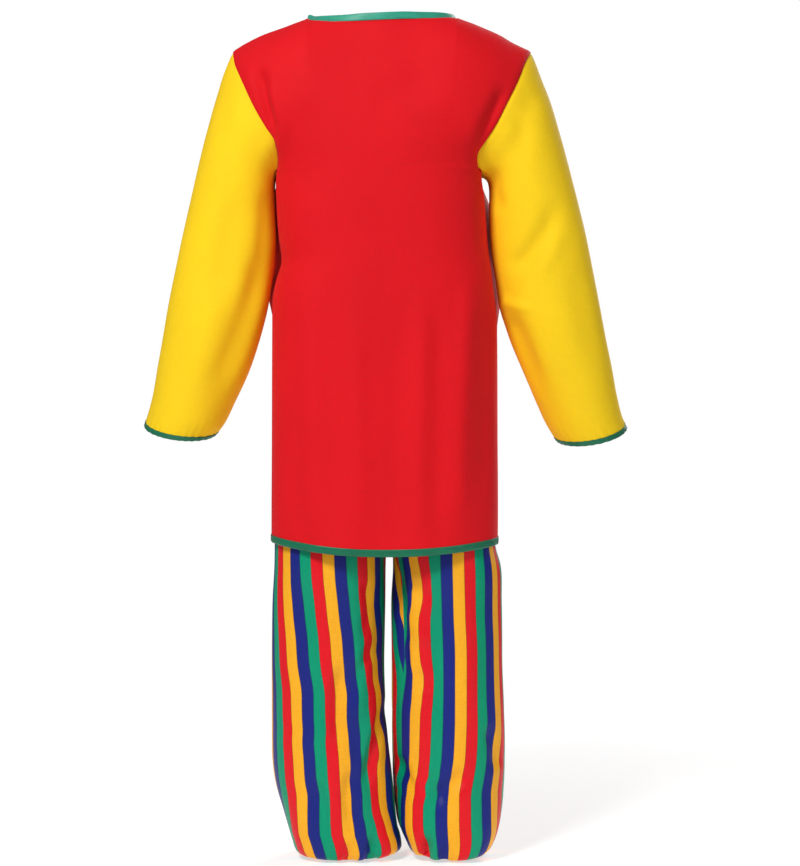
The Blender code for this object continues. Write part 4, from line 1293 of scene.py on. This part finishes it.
def tape(name, colour):
    """Satin bias tape, whose threads run across it at an angle."""
    finish = Finish(name, {"Roughness": 0.45, "Sheen Weight": 0.05, "Specular IOR Level": 0.35})
    uv = finish.add("UVMap", {}, uv_map="cloth")
    turned = finish.add("Mapping", {"Vector": uv, "Rotation": (0, 0, math.radians(45))})
    slubs = finish.noise(turned, TAPE_SLUBS)
    shade = finish.math("ADD", slubs, finish.noise(uv, TAPE_PATCHES))
    return finish.cover((*colour, 1), finish.remap(shade, *SLUB_RANGE, 0.82, 1.15), slubs, 0.3)


def plain(name, colour, roughness, glow=0.0):
    """A smooth matte finish."""
    return Finish(name, {"Base Color": (*colour, 1), "Roughness": roughness,
                         "Emission Color": WHITE, "Emission Strength": glow}).material


RED_CLOTH = woven("red_cloth", RED, 0.55, 0.05, 0.02, 0.12, 0.72)
YELLOW_CLOTH = woven("yellow_cloth", YELLOW, 0.55, 0.035, 0.02, 0.12, 0.72)
STRIPED_CLOTH = woven("striped_cloth", None, 0.45, 0.07, 0.0, 0.16, 0.42)
GREEN_TAPE = tape("green_tape", GREEN)
# The neck binding gets a lighter copy of the green tape: painted light from above
NECK_TAPE_PAINTED_LIGHT = tape("neck_tape_painted_light", NECK_GREEN_PAINTED_LIGHT)
GREEN_THREAD = plain("green_thread", THREAD_GREEN, 0.5)


def settle(piece, slot, *nodes):
    """A finished piece rides on the body and stands for its solids. Its slot is not used."""
    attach(piece, BODY)
    if nodes:
        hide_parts(*nodes)
    return piece


# Tunic
waist = [read(TORSO, column, WAIST_LEVEL_Z) for column in ("left", "right", "back")]
quarter = even_quarter((waist[0] + waist[1]) / 2, waist[2], COLUMNS // 2)
panels = {}
for panel in (BACK, FRONT):
    grid = soften(panel_grid(panel, quarter))
    panels[panel.name] = dress_panel(panel, grid + side_bulges(panel, grid))
back = settle(add_shell("tunic_back_cloth", panels["back"], TORSO_MIDDLE, RED_CLOTH),
              "tunic_cloth", "tunic_back")
front = settle(add_shell("tunic_front_cloth", panels["front"], TORSO_MIDDLE, RED_CLOTH),
               "tunic_cloth", "tunic_front")

for side, column in (("left", 0), ("right", -1)):
    ring, angles = armhole_ring(panels, column)
    grid = sleeve_grid(side, ring, angles)
    middle = grid.mean(axis=1, keepdims=True)
    settle(add_shell(f"sleeve_{side}_cloth", grid, middle, YELLOW_CLOTH),
                           "sleeve_cloth", f"sleeve_{side}")
    cuff_normals = grid_normals(grid, middle)[-1, :-1]
    cuff = edge_stations(grid[-1, :-1], cuff_normals, grid[-2, :-1])
    settle(add_binding(f"cuff_{side}_tape", cuff, CUFF_BINDING_WIDTH, CUFF_PUCKERS, GREEN_TAPE),
           "binding", f"cuff_binding_{side}")
    settle(add_stitches(f"cuff_{side}_stitches", cuff, GREEN_THREAD), "binding")

columns = panel_columns()
neck = rim_stations(panels, 0, 1, columns.index(SHOULDER_COLUMNS),
                    columns.index(SHOULDER_COLUMNS + NECK_COLUMNS))
neck = even_out(stand_up(neck))
settle(add_binding("neck_tape", neck, NECK_BINDING_WIDTH, NECK_PUCKERS, NECK_TAPE_PAINTED_LIGHT),
       "binding", "neck_binding")
settle(add_stitches("neck_stitches", neck, GREEN_THREAD), "binding")
hem = rim_stations(panels, -1, -2, 0, len(columns) - 1)
settle(add_binding("hem_tape", hem, HEM_BINDING_WIDTH, HEM_PUCKERS, GREEN_TAPE),
       "binding", "hem_binding")
settle(add_stitches("hem_stitches", hem, GREEN_THREAD), "binding")

# Trousers
for side in ("left", "right"):
    grid = leg_grid(side)
    settle(
        add_shell(f"trouser_{side}_cloth", grid, grid.mean(axis=1, keepdims=True),
                  STRIPED_CLOTH, *stripe_places(grid, side)),
        "trouser_cloth", f"trouser_leg_{side}")

# Floor, light and camera
bpy.ops.mesh.primitive_circle_add(vertices=96, radius=FLOOR_RADIUS, fill_type="NGON",
                                  location=(0, 0, FLOOR_Z))
floor = bpy.context.object
floor.name = "studio_floor"
floor.data.materials.append(plain("studio_floor", FLOOR_GREY, 0.9, glow=FLOOR_GLOW))

world = bpy.data.worlds.new("studio")
bpy.context.scene.world = world
world.use_nodes = True
studio = world.node_tree.nodes["Background"]
studio.inputs["Color"].default_value = WHITE
studio.inputs["Strength"].default_value = STUDIO_LIGHT
seen, either, rays = (world.node_tree.nodes.new("ShaderNode" + kind)
                      for kind in ("Background", "MixShader", "LightPath"))
seen.inputs["Color"].default_value = WHITE
for source, target in ((rays.outputs["Is Camera Ray"], either.inputs[0]),
                       (studio.outputs[0], either.inputs[1]),
                       (seen.outputs[0], either.inputs[2]),
                       (either.outputs[0], world.node_tree.nodes["World Output"].inputs[0])):
    world.node_tree.links.new(source, target)
bpy.context.scene.view_settings.view_transform = "Standard"

Lamp = namedtuple("Lamp", "name place aim size power")
LAMPS = [
    Lamp("key", (-1.15, -2.2, 1.55), (0, 0, -0.30), 0.9, 79),
    Lamp("fill", (2.4, -2.4, 0.35), (0, 0, -0.35), 2.0, 17),
    Lamp("far_side", (1.5, 2.6, 0.8), (0, 0, -0.5), 2.0, 62),
]
for lamp in LAMPS:
    light = bpy.data.lights.new(lamp.name, "AREA")
    light.shape = "DISK"
    light.size = lamp.size
    light.energy = lamp.power
    holder = bpy.data.objects.new(lamp.name, light)
    holder.location = lamp.place
    aim = Vector(lamp.aim) - Vector(lamp.place)
    holder.rotation_euler = aim.to_track_quat("-Z", "Y").to_euler()
    bpy.context.scene.collection.objects.link(holder)

camera = bpy.data.objects.new("camera", bpy.data.cameras.new("camera"))
camera.data.lens = CAMERA_LENS
camera.location = CAMERA_PLACE
camera.rotation_euler = (math.pi / 2, 0, 0)
bpy.context.scene.collection.objects.link(camera)
bpy.context.scene.camera = camera
